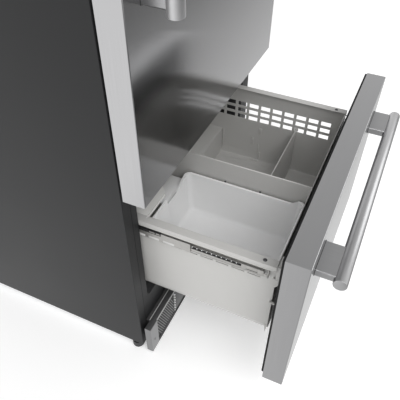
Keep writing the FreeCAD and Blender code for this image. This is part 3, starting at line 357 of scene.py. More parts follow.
def plated(colour, roughness):
    """Zinc-plated steel with its soft spangle and rolling lines."""
    def build(name):
        recipe = Recipe(name)
        cells = recipe.node("ShaderNodeTexVoronoi", None, {"Vector": recipe.place, "Scale": 160.0})
        spangle = recipe.out(cells, "Distance")
        rolled = recipe.grain((900.0, 12.0, 900.0), detail=3.0, rough=0.6)
        recipe.bump(rolled, strength=0.08, distance=0.3 * MM)
        return recipe.set(
            Base_Color=recipe.mix(spangle * 0.6 + rolled * 0.4, shade(colour, 0.82), shade(colour, 1.08)),
            Roughness=roughness + 0.14 * spangle + 0.05 * rolled,
            Metallic=1.0)
    return build


def clear(colour, roughness=0.06, cover=0.30):
    """Clear plastic or glass that still shows its edges."""
    def build(name):
        recipe = Recipe(name)
        haze = recipe.grain(14.0, detail=3.0, rough=0.6)
        recipe.material.surface_render_method = "BLENDED"
        return recipe.set(
            Base_Color=recipe.mix(haze, shade(colour, 0.92), colour),
            Roughness=roughness + 0.05 * haze,
            Alpha=cover + 0.08 * haze)
    return build


def plastic(name):
    """One of the plain plastics."""
    return finish(name, moulded(*PLASTICS[name]))


def plating(name):
    """One of the plated steels."""
    return finish(name, plated(*PLATINGS[name]))


# Shape building

def place_object(name, data):
    """Puts an object into the scene."""
    made = bpy.data.objects.new(name, data)
    bpy.context.scene.collection.objects.link(made)
    return made


def mesh_object(name, bm, material):
    """Turns a bmesh into an object with a finish."""
    mesh = bpy.data.meshes.new(name)
    bm.to_mesh(mesh)
    bm.free()
    mesh.materials.append(material)
    return place_object(name, mesh)


def new_piece(name, bm, material, body, replaces=()):
    """Turns a bmesh into a piece that rides on a body."""
    piece = mesh_object(name, bm, material)
    piece.data.polygons.foreach_set("use_smooth", [True] * len(piece.data.polygons))
    piece.data.set_sharp_from_angle(angle=SMOOTH_LIMIT)
    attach(piece, body)
    if replaces:
        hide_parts(*replaces)
    return piece


def only(kind, items):
    """The items of one kind, such as the vertices among what an operator made."""
    return [item for item in items if isinstance(item, kind)]


def whole(bm):
    """Everything in a bmesh, as the cutting operators want it."""
    return bm.verts[:] + bm.edges[:] + bm.faces[:]


def face_outwards(bm):
    """Turns all faces of a bmesh outwards."""
    bmesh.ops.recalc_face_normals(bm, faces=bm.faces[:])


def ease(share):
    """A soft step from nought to one."""
    return share * share * (3.0 - 2.0 * share)


def round_off(bm, edges, radius, segments):
    """Rounds edges of a bmesh."""
    bmesh.ops.bevel(
        bm, geom=edges, offset=radius, offset_type="OFFSET", affect="EDGES", segments=segments, profile=0.5,
        material=-1)


def edges_of(verts):
    """The edges whose two ends are both among some vertices."""
    chosen = set(verts)
    touched = {edge for vert in verts for edge in vert.link_edges}
    return [edge for edge in touched if set(edge.verts) <= chosen]


def slab(bm, first, second, bevel=0.0, segments=2):
    """Adds a block between two opposite corners, with its edges rounded."""
    low = Vector([min(pair) for pair in zip(first, second)])
    high = Vector([max(pair) for pair in zip(first, second)])
    verts = bmesh.ops.create_cube(bm, size=1.0)["verts"]
    bmesh.ops.scale(bm, vec=high - low, verts=verts)
    bmesh.ops.translate(bm, vec=(low + high) / 2, verts=verts)
    if bevel > 0.0:
        round_off(bm, edges_of(verts), bevel, segments)
    return verts


def spot(box, marks, offsets, side=-1):
    """A point some millimetres from a box, with one mark for each axis.

    A small x, y or z is the low end of the box and a capital the high end. An o is the origin, and a w
    counts inwards from the wall on the given side.
    """
    point = []
    for axis, (mark, offset) in enumerate(zip(marks, offsets)):
        if mark == "w":
            point.append(box[side > 0][axis] - side * offset * MM)
        elif mark == "o":
            point.append(offset * MM)
        else:
            point.append(box[mark.isupper()][axis] + offset * MM)
    return Vector(point)


def blocks(bm, box, rows, side=-1, segments=2):
    """Adds rounded blocks. A row has the marks and millimetres of two corners, and the edges' round."""
    for marks, first, far_marks, second, bevel in rows:
        slab(bm, spot(box, marks, first, side), spot(box, far_marks, second, side), bevel * MM, segments)


def block_piece(name, node, rows, material, body, side=-1, segments=2, replaces=()):
    """Makes a piece of blocks that are placed from a solid's box."""
    bm = bmesh.new()
    blocks(bm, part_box(node), rows, side, segments)
    new_piece(name, bm, material, body, replaces)


def sheet(bm, corners, push):
    """Adds a flat plate from its outline, and returns the points of the side that is pushed out."""
    face = bm.faces.new([bm.verts.new(corner) for corner in corners])
    pushed = bmesh.ops.extrude_face_region(bm, geom=[face], use_keep_orig=True)["geom"]
    moved = only(bmesh.types.BMVert, pushed)
    bmesh.ops.translate(bm, vec=push, verts=moved)
    return moved


def turned(bm, profile, centre, axis, steps, scale=1.0):
    """Spins a profile of radius and height pairs about an axis through a point."""
    axis = Vector(axis).normalized()
    side = axis.orthogonal().normalized()
    centre = Vector(centre)
    verts = [
        bm.verts.new(centre + side * radius * scale + axis * height * scale) for radius, height in profile]
    edges = [bm.edges.new(pair) for pair in zip(verts, verts[1:])]
    before = set(bm.verts) - set(verts)
    bmesh.ops.spin(
        bm, geom=verts + edges, cent=centre, axis=axis, dvec=(0, 0, 0), angle=FULL_TURN, steps=steps,
        use_merge=True, use_normal_flip=False, use_duplicate=False)
    made = [vert for vert in bm.verts if vert not in before]
    bmesh.ops.remove_doubles(bm, verts=made, dist=0.001 * MM)
    made = [vert for vert in bm.verts if vert not in before]
    faces = list({face for vert in made for face in vert.link_faces})
    bmesh.ops.recalc_face_normals(bm, faces=faces)


def bar_between(bm, start, end, radius, steps, bevel):
    """Adds a round bar with softened flat ends."""
    length = (end - start).length
    nick = bevel * 0.3
    profile = (
        (0.0, 0.0), (radius - bevel, 0.0), (radius - nick, nick), (radius, bevel),
        (radius, length - bevel), (radius - nick, length - nick), (radius - bevel, length), (0.0, length))
    turned(bm, profile, start, end - start, steps)


# A low domed head with a dimpled recess, in shares of its radius
SCREW_PROFILE = (
    (0.0, 0.12), (0.28, 0.18), (0.34, 0.42), (0.62, 0.40), (0.90, 0.26), (1.0, 0.10), (1.0, 0.0), (0.0, 0.0))


def screw_head(bm, place, axis, radius):
    """Adds a screw head that stands on a surface."""
    turned(bm, SCREW_PROFILE, place, axis, 20, radius)


def upright_face(bm, low, high):
    """Adds a flat face in the XZ plane between two corners. The Y of low is its place."""
    verts = bmesh.ops.create_grid(bm, x_segments=1, y_segments=1, size=0.5)["verts"]
    bmesh.ops.rotate(bm, verts=verts, cent=(0, 0, 0), matrix=Matrix.Rotation(QUARTER_TURN, 3, "X"))
    size = high - low
    centre = (low + high) / 2
    bmesh.ops.scale(bm, vec=(size.x, 1.0, size.z), verts=verts)
    bmesh.ops.translate(bm, vec=(centre.x, low.y, centre.z), verts=verts)
    return bm.faces[:]


def open_shell(bm, low, high, draft, corner, foot_round):
    """Adds a drafted tub without its top, with round upright corners and a round foot."""
    bmesh.ops.create_cube(bm, size=1.0)
    size = high - low
    centre = (low + high) / 2
    bmesh.ops.scale(bm, vec=size, verts=bm.verts[:])
    bmesh.ops.translate(bm, vec=centre, verts=bm.verts[:])
    foot = [vert for vert in bm.verts if vert.co.z < centre.z]
    to_centre = Matrix.Translation((-centre.x, -centre.y, 0.0))
    shrink = (1.0 - 2 * draft / size.x, 1.0 - 2 * draft / size.y, 1.0)
    bmesh.ops.scale(bm, vec=shrink, verts=foot, space=to_centre)
    top = [face for face in bm.faces if all(vert.co.z > centre.z for vert in face.verts)]
    bmesh.ops.delete(bm, geom=top, context="FACES_ONLY")
    upright = [edge for edge in bm.edges if abs(edge.verts[0].co.z - edge.verts[1].co.z) > size.z / 2]
    round_off(bm, upright, corner, 8)
    sole = [edge for edge in bm.edges if all(vert.co.z < low.z + MM for vert in edge.verts)]
    sole = [edge for edge in sole if len(edge.link_faces) == 2 and edge.calc_face_angle() > SMOOTH_LIMIT]
    round_off(bm, sole, foot_round, 5)


def round_edges(piece, width, limit=EDGE_LIMIT):
    """Rounds the sharp edges of an object."""
    bevel = piece.modifiers.new("edge", "BEVEL")
    bevel.width = width
    bevel.segments = 2
    bevel.limit_method = "ANGLE"
    bevel.angle_limit = limit


def thicken(piece, wall):
    """Gives a shell its wall, inwards, and softens the wall's edges."""
    solid = piece.modifiers.new("wall", "SOLIDIFY")
    solid.thickness = wall
    solid.offset = -1.0
    round_edges(piece, wall * 0.3, WALL_EDGE_LIMIT)


def soften(width, *names):
    """Joins the loose triangles of solids and rounds their sharp edges."""
    for name in names:
        weld = NODES[name].modifiers.new("weld", "WELD")
        weld.merge_threshold = 0.01 * MM
        round_edges(NODES[name], width)


def dress(material, *names):
    """Gives solids a finish."""
    for name in names:
        slots = NODES[name].data.materials
        slots.clear()
        slots.append(material)


class PieceOperator:
    """What the operators share."""

    bl_options = {"REGISTER", "UNDO"}

    def execute(self, context):
        scene = context.scene
        self.build(scene.fridge_stage, scene.fridge_finish, scene.fridge_detail)
        return {"FINISHED"}


# The stage

LAMP_TARGET = Vector((0.0, -0.2, 0.5))
# Place, power and size
LAMPS = {
    "key": ((-1.65, -1.75, 3.16), 60.0, 2.4),
    "fill": ((1.9, -2.2, 1.6), 14.0, 1.8),
}
# The part of the sky, from level at 0 to straight up at 1, over which its brightness changes
SKY_BAND = (0.05, 0.85)
FLOOR_HALF = 12.0
FLOOR_LIFT = 0.27
# What polished faces see of the floor, a painted reflection: it dims towards the front and is brighter again
# far out
FLOOR_FADE = (-1.4, 0.4)
FRONT_FADE = (-1.9, -3.2)
FRONT_SHARE = 0.8
FADED_FLOOR = (0.17, 0.17, 0.17)
FLOOR_GLOW = 1.38


def pale_floor(colour):
    """A pale matt floor. Polished faces see a painted reflection of it that falls off towards the front."""
    def build(name):
        recipe = Recipe(name)
        worn = recipe.grain(2.0, detail=3.0, rough=0.5)
        recipe.set(
            Base_Color=recipe.mix(worn, shade(colour, 0.99), colour),
            Roughness=0.8, Emission_Color=rgba(WHITE), Emission_Strength=FLOOR_LIFT)
        reflection_fade = recipe.fade(*FLOOR_FADE) + recipe.fade(*FRONT_FADE) * FRONT_SHARE
        painted_reflection = recipe.mix(reflection_fade, FADED_FLOOR, WHITE)
        glow = recipe.node("ShaderNodeEmission", None, {"Color": painted_reflection, "Strength": FLOOR_GLOW})
        polished = recipe.out(recipe.node("ShaderNodeLightPath"), "Is Glossy Ray")
        seen = recipe.node("ShaderNodeMixShader", None, {
            0: polished, 1: recipe.out(recipe.shader), 2: recipe.out(glow)})
        recipe.feed(recipe.tree.nodes["Material Output"], "Surface", recipe.out(seen))
        return recipe.material
    return build


class FRIDGE_OT_stage(PieceOperator, bpy.types.Operator):
    """Sets the camera, the soft studio light and the pale floor"""

    bl_idname = "fridge.stage"
    bl_label = "Stage"

    def build(self, stage, colours, detail):
        bpy.context.scene.view_settings.view_transform = "Standard"
        self.make_camera(stage)
        self.make_floor(stage)
        self.make_sky(stage)
        self.make_lamps()

    def make_camera(self, stage):
        """The picture's view."""
        data = bpy.data.cameras.new("camera")
        data.sensor_width = 36.0
        data.lens = stage.lens
        data.shift_y = stage.rise
        data.clip_start = 10 * MM
        camera = place_object("camera", data)
        turn = Matrix.Rotation(-stage.heading, 4, "Z")
        tilt = Matrix.Rotation(QUARTER_TURN - stage.dip, 4, "X")
        roll = Matrix.Rotation(stage.roll, 4, "Z")
        camera.matrix_world = Matrix.Translation(stage.eye) @ turn @ tilt @ roll
        bpy.context.scene.camera = camera

    def make_floor(self, stage):
        """A wide flat floor."""
        bm = bmesh.new()
        bmesh.ops.create_grid(bm, x_segments=8, y_segments=8, size=FLOOR_HALF)
        floor = mesh_object("floor", bm, finish("pale_floor", pale_floor(stage.floor_colour)))

    def make_sky(self, stage):
        """White light from all round, brighter at eye level than overhead."""
        world = bpy.data.worlds.new("studio")
        bpy.context.scene.world = world
        world.use_nodes = True
        sky = Nodes(world.node_tree)
        place = sky.out(sky.node("ShaderNodeTexCoord"), "Generated")
        height = sky.out(sky.node("ShaderNodeSeparateXYZ", None, {"Vector": place}), "Z")
        ramp = sky.node("ShaderNodeMapRange", None, {
            "Value": height, "From Min": SKY_BAND[0], "From Max": SKY_BAND[1],
            "To Min": stage.sky_low, "To Max": stage.sky_high})
        background = sky.tree.nodes["Background"]
        sky.feed(background, "Strength", sky.out(ramp))
        sky.feed(background, "Color", rgba(WHITE))

    def make_lamps(self):
        """Two large soft lamps that face the refrigerator."""
        for name, (place, power, size) in LAMPS.items():
            data = bpy.data.lights.new(name, "AREA")
            data.energy = power
            data.size = size
            lamp = place_object(name, data)
            lamp.location = place
            lamp.rotation_euler = (LAMP_TARGET - Vector(place)).to_track_quat("-Z", "Y").to_euler()


# Case

FLANGE_SEAMS = [
    ("oyo", (x - 1.1, -0.12, 128), "oyZ", (x + 1.1, 0.4, -40), 0.1) for x in (-350, 350)]
BACK_BEADS = [
    ("oYz", (x - 9, -0.4, 60), "oYZ", (x + 9, 1.0, -70), 1.2) for x in (-240, -80, 80, 240)]
BACK_SCREWS = (-360, -120, 120, 360)
BACK_SCREW_RADIUS = 2.8 * MM
HINGE_COVER_EDGE = 1.2 * MM


class FRIDGE_OT_case(PieceOperator, bpy.types.Operator):
    """Paints the outer panels, the front flange and the hinges"""

    bl_idname = "fridge.case"
    bl_label = "Case"

    def build(self, stage, colours, detail):
        paint = finish("case_paint", painted(colours.case_paint))
        dress(paint, "side_panel_left", "side_panel_right", "top_panel", "front_frame")
        hinge = finish("hinge_paint", painted(shade(colours.case_paint, 0.8), 0.35, 1600.0))
        dress(hinge, "top_hinge", "centre_hinge", "hinge_cover")
        zinc = plating("zinc")
        dress(zinc, "back_panel", "machine_wall", "base_pan", "rear_cover")
        dress(plastic("foam"), "foam_body")
        soften(
            detail.edge, "side_panel_left", "side_panel_right", "front_frame", "top_hinge", "centre_hinge")
        soften(HINGE_COVER_EDGE, "hinge_cover")
        # The dark seam where each side panel's turned edge meets the front frame
        dark = finish("seam_paint", painted(shade(colours.case_paint, 0.35), 0.6))
        block_piece("flange_seams", "front_frame", FLANGE_SEAMS, dark, "cabinet")
        block_piece("back_beads", "back_panel", BACK_BEADS, zinc, "cabinet", segments=3)
        self.make_screws()

    def make_screws(self):
        """Screws round the back panel and the machine cover."""
        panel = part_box("back_panel")
        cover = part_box("rear_cover")
        bm = bmesh.new()
        for x in BACK_SCREWS:
            for z in (cover[0].z + 10 * MM, cover[1].z - 10 * MM, panel[1].z - 14 * MM):
                screw_head(bm, (x * MM, panel[1].y, z), (0, 1, 0), BACK_SCREW_RADIUS)
        new_piece("back_screws", bm, plating("screw_steel"), "cabinet")


# Fronts and handles

# Dark gaskets between the handles' posts and the fronts, which also paint the shadow line at each post's
# foot
POST_JOINTS = {
    ("drawer_handle_posts", "freezer_drawer"): (
        ("xYz", (-0.4, -1.0, -0.4), "xYZ", (90.4, 0, 0.4), 0.2),
        ("XYz", (-90.4, -1.0, -0.4), "XYZ", (0.4, 0, 0.4), 0.2)),
    ("door_handle_posts", "upper_door"): (
        ("xYz", (-0.4, -1.0, -0.4), "XYz", (0.4, 0, 90.4), 0.2),
        ("xYZ", (-0.4, -1.0, -90.4), "XYZ", (0.4, 0, 0.4), 0.2)),
}
JOINT_AND_SHADOW_BLACK = (0.05, 0.05, 0.05)
BAR_END = 1.6 * MM


class FRIDGE_OT_fronts(PieceOperator, bpy.types.Operator):
    """Brushes the two stainless fronts and makes their bar handles"""

    bl_idname = "fridge.fronts"
    bl_label = "Fronts and handles"

    def build(self, stage, colours, detail):
        steel = colours.stainless
        dress(finish("brushed_front", brushed(steel, "z")), "door_skin", "drawer_skin")
        post = finish("brushed_post", brushed(shade(steel, 0.95), "y", 0.30))
        dress(post, "door_handle_posts", "drawer_handle_posts")
        soften(detail.edge, "door_handle_posts", "drawer_handle_posts")
        dark = finish("joint_and_shadow_rubber", rubber(JOINT_AND_SHADOW_BLACK))
        for (node, body), rows in POST_JOINTS.items():
            block_piece(node + "_joints", node, rows, dark, body)
        # Both bars take lightened copies of the stainless, the door's the most: painted light for the bright
        # studio they reflect.
        self.make_bar("drawer_handle", "x", "freezer_drawer", detail, shade(steel, 1.2))
        self.make_bar("door_handle", "z", "upper_door", detail, shade(steel, 1.6))

    def make_bar(self, node, along, body, detail, steel):
        """A round bar in the place of the solid one, in a lightened copy of the stainless that paints light
        on it.
        """
        low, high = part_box(node)
        axis = "xyz".index(along)
        start = (low + high) / 2
        end = start.copy()
        start[axis] = low[axis]
        end[axis] = high[axis]
        bm = bmesh.new()
        bar_between(bm, start, end, (high.y - low.y) / 2, detail.bar_steps, BAR_END)
        material = finish("brushed_bar_painted_light_" + along, brushed(steel, along, 0.30, 1400.0))
        new_piece(node + "_bar", bm, material, body, [node])


# Seals

# From the outer edge inwards: width in millimetres and height as a share of the gasket's depth
GASKET_RIBS = (
    (0.1, 0.8), (0.9, 1.0), (4.0, 1.0), (1.2, 0.55), (3.0, 0.55), (1.2, 1.0), (4.5, 0.9), (1.5, 0.0))


class FRIDGE_OT_seals(PieceOperator, bpy.types.Operator):
    """Makes the ribbed gaskets behind the two fronts"""

    bl_idname = "fridge.seals"
    bl_label = "Seals"

    def build(self, stage, colours, detail):
        material = finish("seal_rubber", rubber(colours.seal_rubber))
        for node, body in (("door_gasket", "upper_door"), ("drawer_gasket", "freezer_drawer")):
            self.make_ring(node, body, material)

    def make_ring(self, node, body, material):
        """A ring with mitred corners: an outer wall, two flat ribs and the groove between them."""
        low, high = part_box(node)
        bm = bmesh.new()
        inner = upright_face(bm, low, high)
        for width, height in GASKET_RIBS:
            bmesh.ops.inset_region(
                bm, faces=inner, thickness=width * MM, use_boundary=True, use_even_offset=True)
            for vert in {vert for face in inner for vert in face.verts}:
                vert.co.y = low.y + (high.y - low.y) * height
        bmesh.ops.delete(bm, geom=inner, context="FACES")
        bmesh.ops.bridge_loops(bm, edges=[edge for edge in bm.edges if edge.is_boundary])
        face_outwards(bm)
        new_piece(node + "_ribs", bm, material, body, [node])


# Freezer drawer

# The plug behind the drawer front: outline across and up in millimetres, and its taper to the tip
PLUG_OUTLINE = ((-318, 250), (318, 250), (318, 456), (278, 496), (-278, 496), (-318, 456))
PLUG_MIDDLE = 373 * MM
PLUG_TAPER = (312 / 318, 1.0, 117 / 123)
PLUG_GAP = 7 * MM
CORE_EDGE = 0.6 * MM
# The bend at the foot of the drawer's box, as the solids have it
BEND_SIDE = 285 * MM
BEND_TOP = 263 * MM
BEND_INNER = 26 * MM
BEND_OUTER = 28 * MM
BEND_SLACK = 1.5 * MM
BEND_END = 0.05 * MM
# The tighter corner that it is drawn to: lines of its inner and outer face, in millimetres from the
# bend's centre
NEAR_FOOT = (
    ((26, 0), (18.5, 21.8), (16.2, 24.9), (12.5, 26), (0, 26)),
    ((28, 0), (20.4, 22.4), (17.4, 26.4), (12.8, 28), (0, 28)))
FAR_FOOT = (
    ((26, 0), (24.3, 22.3), (22.5, 25.0), (19, 26), (0, 26)),
    ((28, 0), (26.3, 23.2), (23.8, 27.0), (19.4, 28), (0, 28)))
BOX_EDGE = 0.5 * MM
# The deepened edge of each ledge, and the plate that closes the near wall's vent slots from inside
LEDGE_TRIM = (
    ("wyZ", (0, 0, -16), "wYZ", (1.6, -8, -9.8), 0.5),
    ("wyZ", (8, 4, -25), "wYZ", (11, -8, -3), 0.5))
VENT_COVER = ("wyZ", (12.9, 20, -72), "wYZ", (14.1, -30, -44), 0.4)
# Guides for the divider on the far wall, from their middle, foot, top and half width
WALL_GUIDES = [
    ("woo", (12.8, y - half, foot), "woo", (15.4, y + half, top), 0.9) for y, foot, top, half in (
        (-144, 275, 303, 2.5), (-149, 243, 271, 4.0), (-146, 344, 367, 5.0), (-122, 298, 326, 5.0),
        (-17, 258, 326, 2.0))]
FOOT_CATCH = ("ooo", (301, -150, 236.5), "ooo", (307, -121, 240.5), 0.8)
# Pins that hold the box on the drawer front: level and radius
HOOKS = {"left": ((452, 3.4), (364, 3.4)), "right": ((484, 1.4), (471, 1.4), (364, 3.4))}
HOOK_X = 317.5
# Pointed tips at the foot of the box's front edge: along and up
TIP = ((1, 262), (8, 262), (4, 228))
TIP_X = 312.8
# Pale beads on the centre wall's top and the rail's front edge; their light grey paints the highlights along
# those edges.
BOX_BEADS = (
    ("Xyz", (-2.6, 0, -1.2), "XYz", (0.6, 0, 0.9), 0.7),
    ("xYz", (0, -0.3, -7), "xYz", (93, 1.6, 0.5), 0.6))
BIN_CLIPS = [
    ("ooo", (-54.0, y - 2.6, 434), "ooo", (-49.6, y + 2.6, 437.6), 0.8) for y in (-268.75, -169.75)]
LEDGE_SCREWS = (30, 408)


class FRIDGE_OT_drawer_box(PieceOperator, bpy.types.Operator):
    """Finishes the walls of the freezer drawer and adds their trims, guides, brackets and screws"""

    bl_idname = "fridge.drawer_box"
    bl_label = "Drawer box"

    def build(self, stage, colours, detail):
        grey = colours.drawer_plastic
        walls = finish("drawer_walls", moulded(grey, 0.36))
        dress(walls, "centre_wall")
        # The rear rail takes a lightened copy of the drawer grey: painted light against the shade under the
        # closed door.
        dress(finish("rail", moulded(shade(grey, 1.45), 0.34)), "rear_rail")
        dress(finish("divider", moulded(shade(grey, 1.05), 0.34)), "drawer_divider")
        # The plug's near-black grey is painted shade for the dark gap between the box and the front.
        self.make_core(finish("plug", moulded(shade(grey, 0.03), 0.6)))
        soften(BOX_EDGE, "centre_wall", "rear_rail")
        soften(detail.edge, "drawer_divider")
        self.make_walls(walls)
        for name, side in SIDES:
            rows = LEDGE_TRIM if side > 0 else (*LEDGE_TRIM, VENT_COVER)
            self.add_blocks("ledge_trim_" + name, "drawer_side_" + name, rows, walls, side)
        self.add_blocks("wall_ribs", "drawer_side_right", [*WALL_GUIDES, FOOT_CATCH], walls, 1)
        self.make_brackets(walls)
        self.make_beads(finish("painted_highlight_bead", moulded(shade(grey, 1.25), 0.25)))
        block_piece(
            "bin_clips", "centre_wall", BIN_CLIPS, plastic("clip_grey"), "freezer_drawer")
        self.make_screws(detail)

    def add_blocks(self, name, node, rows, walls, side):
        """Blocks of the drawer's own plastic."""
        block_piece(name, node, rows, walls, "freezer_drawer", side)

    def make_core(self, material):
        """The insulated core behind the stainless front, and its tapered plug with cut upper corners."""
        low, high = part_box("drawer_liner")
        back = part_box("drawer_gasket")[0].y
        bm = bmesh.new()
        slab(bm, low, (high.x, back, high.z), CORE_EDGE)
        corners = [(x * MM, back, z * MM) for x, z in PLUG_OUTLINE]
        tip = sheet(bm, corners, (0, high.y - PLUG_GAP - back, 0))
        to_centre = Matrix.Translation((0, 0, -PLUG_MIDDLE))
        bmesh.ops.scale(bm, vec=PLUG_TAPER, verts=tip, space=to_centre)
        face_outwards(bm)
        new_piece("drawer_core", bm, material, "freezer_drawer", ["drawer_liner"])

    def make_walls(self, walls):
        """Copies the side walls and the tray, with the bend at their foot drawn into a tighter corner."""
        for name in ("drawer_side_left", "drawer_side_right", "drawer_tray"):
            bm = bmesh.new()
            bm.from_mesh(NODES[name].data)
            bmesh.ops.remove_doubles(bm, verts=bm.verts[:], dist=0.01 * MM)
            for vert in bm.verts:
                self.tighten_foot(vert)
            piece = new_piece(name + "_moulding", bm, walls, "freezer_drawer", [name])
            round_edges(piece, BOX_EDGE)

    def tighten_foot(self, vert):
        """Moves a point of the bend onto the tighter corner."""
        across = abs(vert.co.x) - BEND_SIDE
        down = BEND_TOP - vert.co.z
        reach = math.hypot(across, down)
        if min(across, down) <= BEND_END or abs(reach - (BEND_INNER + BEND_OUTER) / 2) > BEND_SLACK:
            return
        foot = NEAR_FOOT if vert.co.x < 0 else FAR_FOOT
        legs = len(foot[0]) - 1
        turn = legs * math.atan2(down, across) / QUARTER_TURN
        leg = min(legs - 1, int(turn))
        inner, outer = (Vector(line[leg]).lerp(Vector(line[leg + 1]), turn - leg) for line in foot)
        place = inner.lerp(outer, (reach - BEND_INNER) / (BEND_OUTER - BEND_INNER)) * MM
        vert.co.x = math.copysign(BEND_SIDE + place.x, vert.co.x)
        vert.co.z = BEND_TOP - place.y

    def make_brackets(self, walls):
        """Adds the near side's tapered bracket, and the hooks and tips that hold the box on the front."""
        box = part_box("drawer_side_left")
        for name, side in SIDES:
            bm = bmesh.new()
            if side < 0:
                self.add_bracket(bm, box[0].y, box[1].z - 0.8 * MM)
            for level, radius in HOOKS[name]:
                pin = ((0.0, 0.0), (radius, 0.6), (radius, 18.0), (0.0, 18.6))
                turned(bm, pin, spot(box, "oyo", (side * HOOK_X, -13, level)), (0, 1, 0), 16, MM)
            sheet(bm, [spot(box, "oyo", (side * TIP_X, y, z)) for y, z in TIP], (side * MM, 0, 0))
            face_outwards(bm)
            new_piece("front_bracket_" + name, bm, walls, "freezer_drawer")

    def add_bracket(self, bm, wall, top):
        """A tapered plate from the wall to the drawer front, with a flat along its top."""
        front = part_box("drawer_gasket")[1].y + 0.3 * MM
        outline = ((wall, top), (front, top), (front, 448 * MM), (wall, 424 * MM))
        sheet(bm, [(-318.3 * MM, y, z) for y, z in outline], (-1.4 * MM, 0, 0))
        slab(bm, (-319.7 * MM, front, top - 1.6 * MM), (-286 * MM, wall - 1.4 * MM, top), 0.4 * MM)

    def make_beads(self, pale):
        """Caps the centre wall and the rail's front edge with a pale bead, whose light grey is a painted
        highlight along those edges.
        """
        wall_low, wall_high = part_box("centre_wall")
        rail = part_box("rear_rail")[0]
        corner = (Vector((rail.x, wall_low.y, wall_high.z)), Vector((wall_high.x, rail.y, wall_high.z)))
        bm = bmesh.new()
        blocks(bm, corner, BOX_BEADS)
        new_piece("box_beads", bm, pale, "freezer_drawer")

    def make_screws(self, detail):
        """Screws on the ledges."""
        bm = bmesh.new()
        for name, side in SIDES:
            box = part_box("drawer_side_" + name)
            for inset in LEDGE_SCREWS:
                screw_head(bm, spot(box, "wyZ", (11, inset, 0), side), (0, 0, 1), detail.screw_radius)
        new_piece("ledge_screws", bm, plating("screw_steel"), "freezer_drawer")


# The hand scoop in the bin's back edge
SCOOP_RIGHT = 23 * MM
SCOOP_WIDTH = 105 * MM
SCOOP_CORNER = 3 * MM
SCOOP_SLOPE = 51 * MM
SCOOP_DEPTH = 16 * MM
SCOOP_REACH = 60 * MM
FLANGE_FROM_RIGHT = 17 * MM
FLANGE_TAIL = 12 * MM
FLANGE_EDGE = 0.8 * MM
# The soft step in the bin's rim
FRONT_RISE_FROM = -350 * MM
FRONT_RISE_LENGTH = 21 * MM
FRONT_RISE = 12.5 * MM
CURVE_STEPS = 8
RIM_OUT = 0.96
RIM_FALL = 3.5 * MM


class FRIDGE_OT_bin(PieceOperator, bpy.types.Operator):
    """Moulds the lift-out bin with its rim, scoop and flange"""

    bl_idname = "fridge.bin"
    bl_label = "Lift-out bin"

    def build(self, stage, colours, detail):
        low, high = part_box("storage_bin")
        high.y -= detail.bin_flange
        lip = detail.bin_lip
        inset = Vector((lip, lip, 0.0))
        bm = bmesh.new()
        open_shell(
            bm, low + inset, high - inset, detail.bin_draft, detail.bin_corner, detail.bin_foot_round)
        self.cut_scoop(bm, high)
        self.raise_front(bm, high)
        self.roll_rim(bm, lip)
        face_outwards(bm)
        material = finish("bin_plastic", moulded(colours.bin_plastic, 0.15))
        piece = new_piece("bin_shell", bm, material, "storage_bin", ["storage_bin"])
        # The rim's whiter plastic paints a highlight along it.
        piece.data.materials.append(plastic("bin_rim_painted_highlight"))
        thicken(piece, detail.bin_wall)
        self.make_flange(high, detail, material)

    def cut_scoop(self, bm, high):
        """Lowers part of the back edge into a hand scoop."""
        right = high.x - SCOOP_RIGHT
        left = right - SCOOP_WIDTH
        places = {left: 0.0, left + SCOOP_CORNER: 1.0}
        for step in range(CURVE_STEPS + 1):
            share = step / CURVE_STEPS
            places[right - SCOOP_SLOPE * (1.0 - share)] = 1.0 - ease(share)
        for x, fall in places.items():
            bmesh.ops.bisect_plane(bm, geom=whole(bm), plane_co=(x, 0, 0), plane_no=(1, 0, 0))
            for vert in bm.verts:
                on_back = vert.co.y > high.y - SCOOP_REACH and vert.co.z > high.z - SCOOP_DEPTH - MM
                if on_back and abs(vert.co.x - x) < 0.05 * MM:
                    vert.co.z = high.z - SCOOP_DEPTH * fall

    def raise_front(self, bm, high):
        """Lifts the front of the rim in a soft step."""
        for step in range(CURVE_STEPS + 1):
            y = FRONT_RISE_FROM - FRONT_RISE_LENGTH * step / CURVE_STEPS
            bmesh.ops.bisect_plane(bm, geom=whole(bm), plane_co=(0, y, 0), plane_no=(0, 1, 0))
        for vert in bm.verts:
            if vert.co.z > high.z - 0.5 * MM:
                share = (FRONT_RISE_FROM - vert.co.y) / FRONT_RISE_LENGTH
                vert.co.z += FRONT_RISE * ease(max(0.0, min(1.0, share)))

    def roll_rim(self, bm, lip):
        """Turns the rim out and down, in a whiter plastic that paints a highlight along it."""
        rim = [edge for edge in bm.edges if edge.is_boundary]
        out = bmesh.ops.extrude_edge_only(bm, edges=rim)["geom"]
        verts = only(bmesh.types.BMVert, out)
        for axis in (0, 1):
            places = [vert.co[axis] for vert in verts]
            middle = (min(places) + max(places)) / 2
            half = (max(places) - min(places)) / 2
            for vert in verts:
                vert.co[axis] += lip * RIM_OUT * (vert.co[axis] - middle) / half
        down = bmesh.ops.extrude_edge_only(bm, edges=only(bmesh.types.BMEdge, out))["geom"]
        bmesh.ops.translate(bm, vec=(0, 0, -RIM_FALL), verts=only(bmesh.types.BMVert, down))
        for face in only(bmesh.types.BMFace, out + down):
            face.material_index = 1

    def make_flange(self, high, detail, material):
        """The flat flange behind the scoop."""
        left = high.x - SCOOP_RIGHT - SCOOP_WIDTH
        right = high.x - FLANGE_FROM_RIGHT
        top = high.z - SCOOP_DEPTH
        bm = bmesh.new()
        slab(
            bm, (left, high.y - detail.bin_lip, top - detail.bin_wall),
            (right, high.y + detail.bin_flange + FLANGE_TAIL, top), FLANGE_EDGE)
        new_piece("bin_scoop_flange", bm, material, "storage_bin")


# Telescopic slides

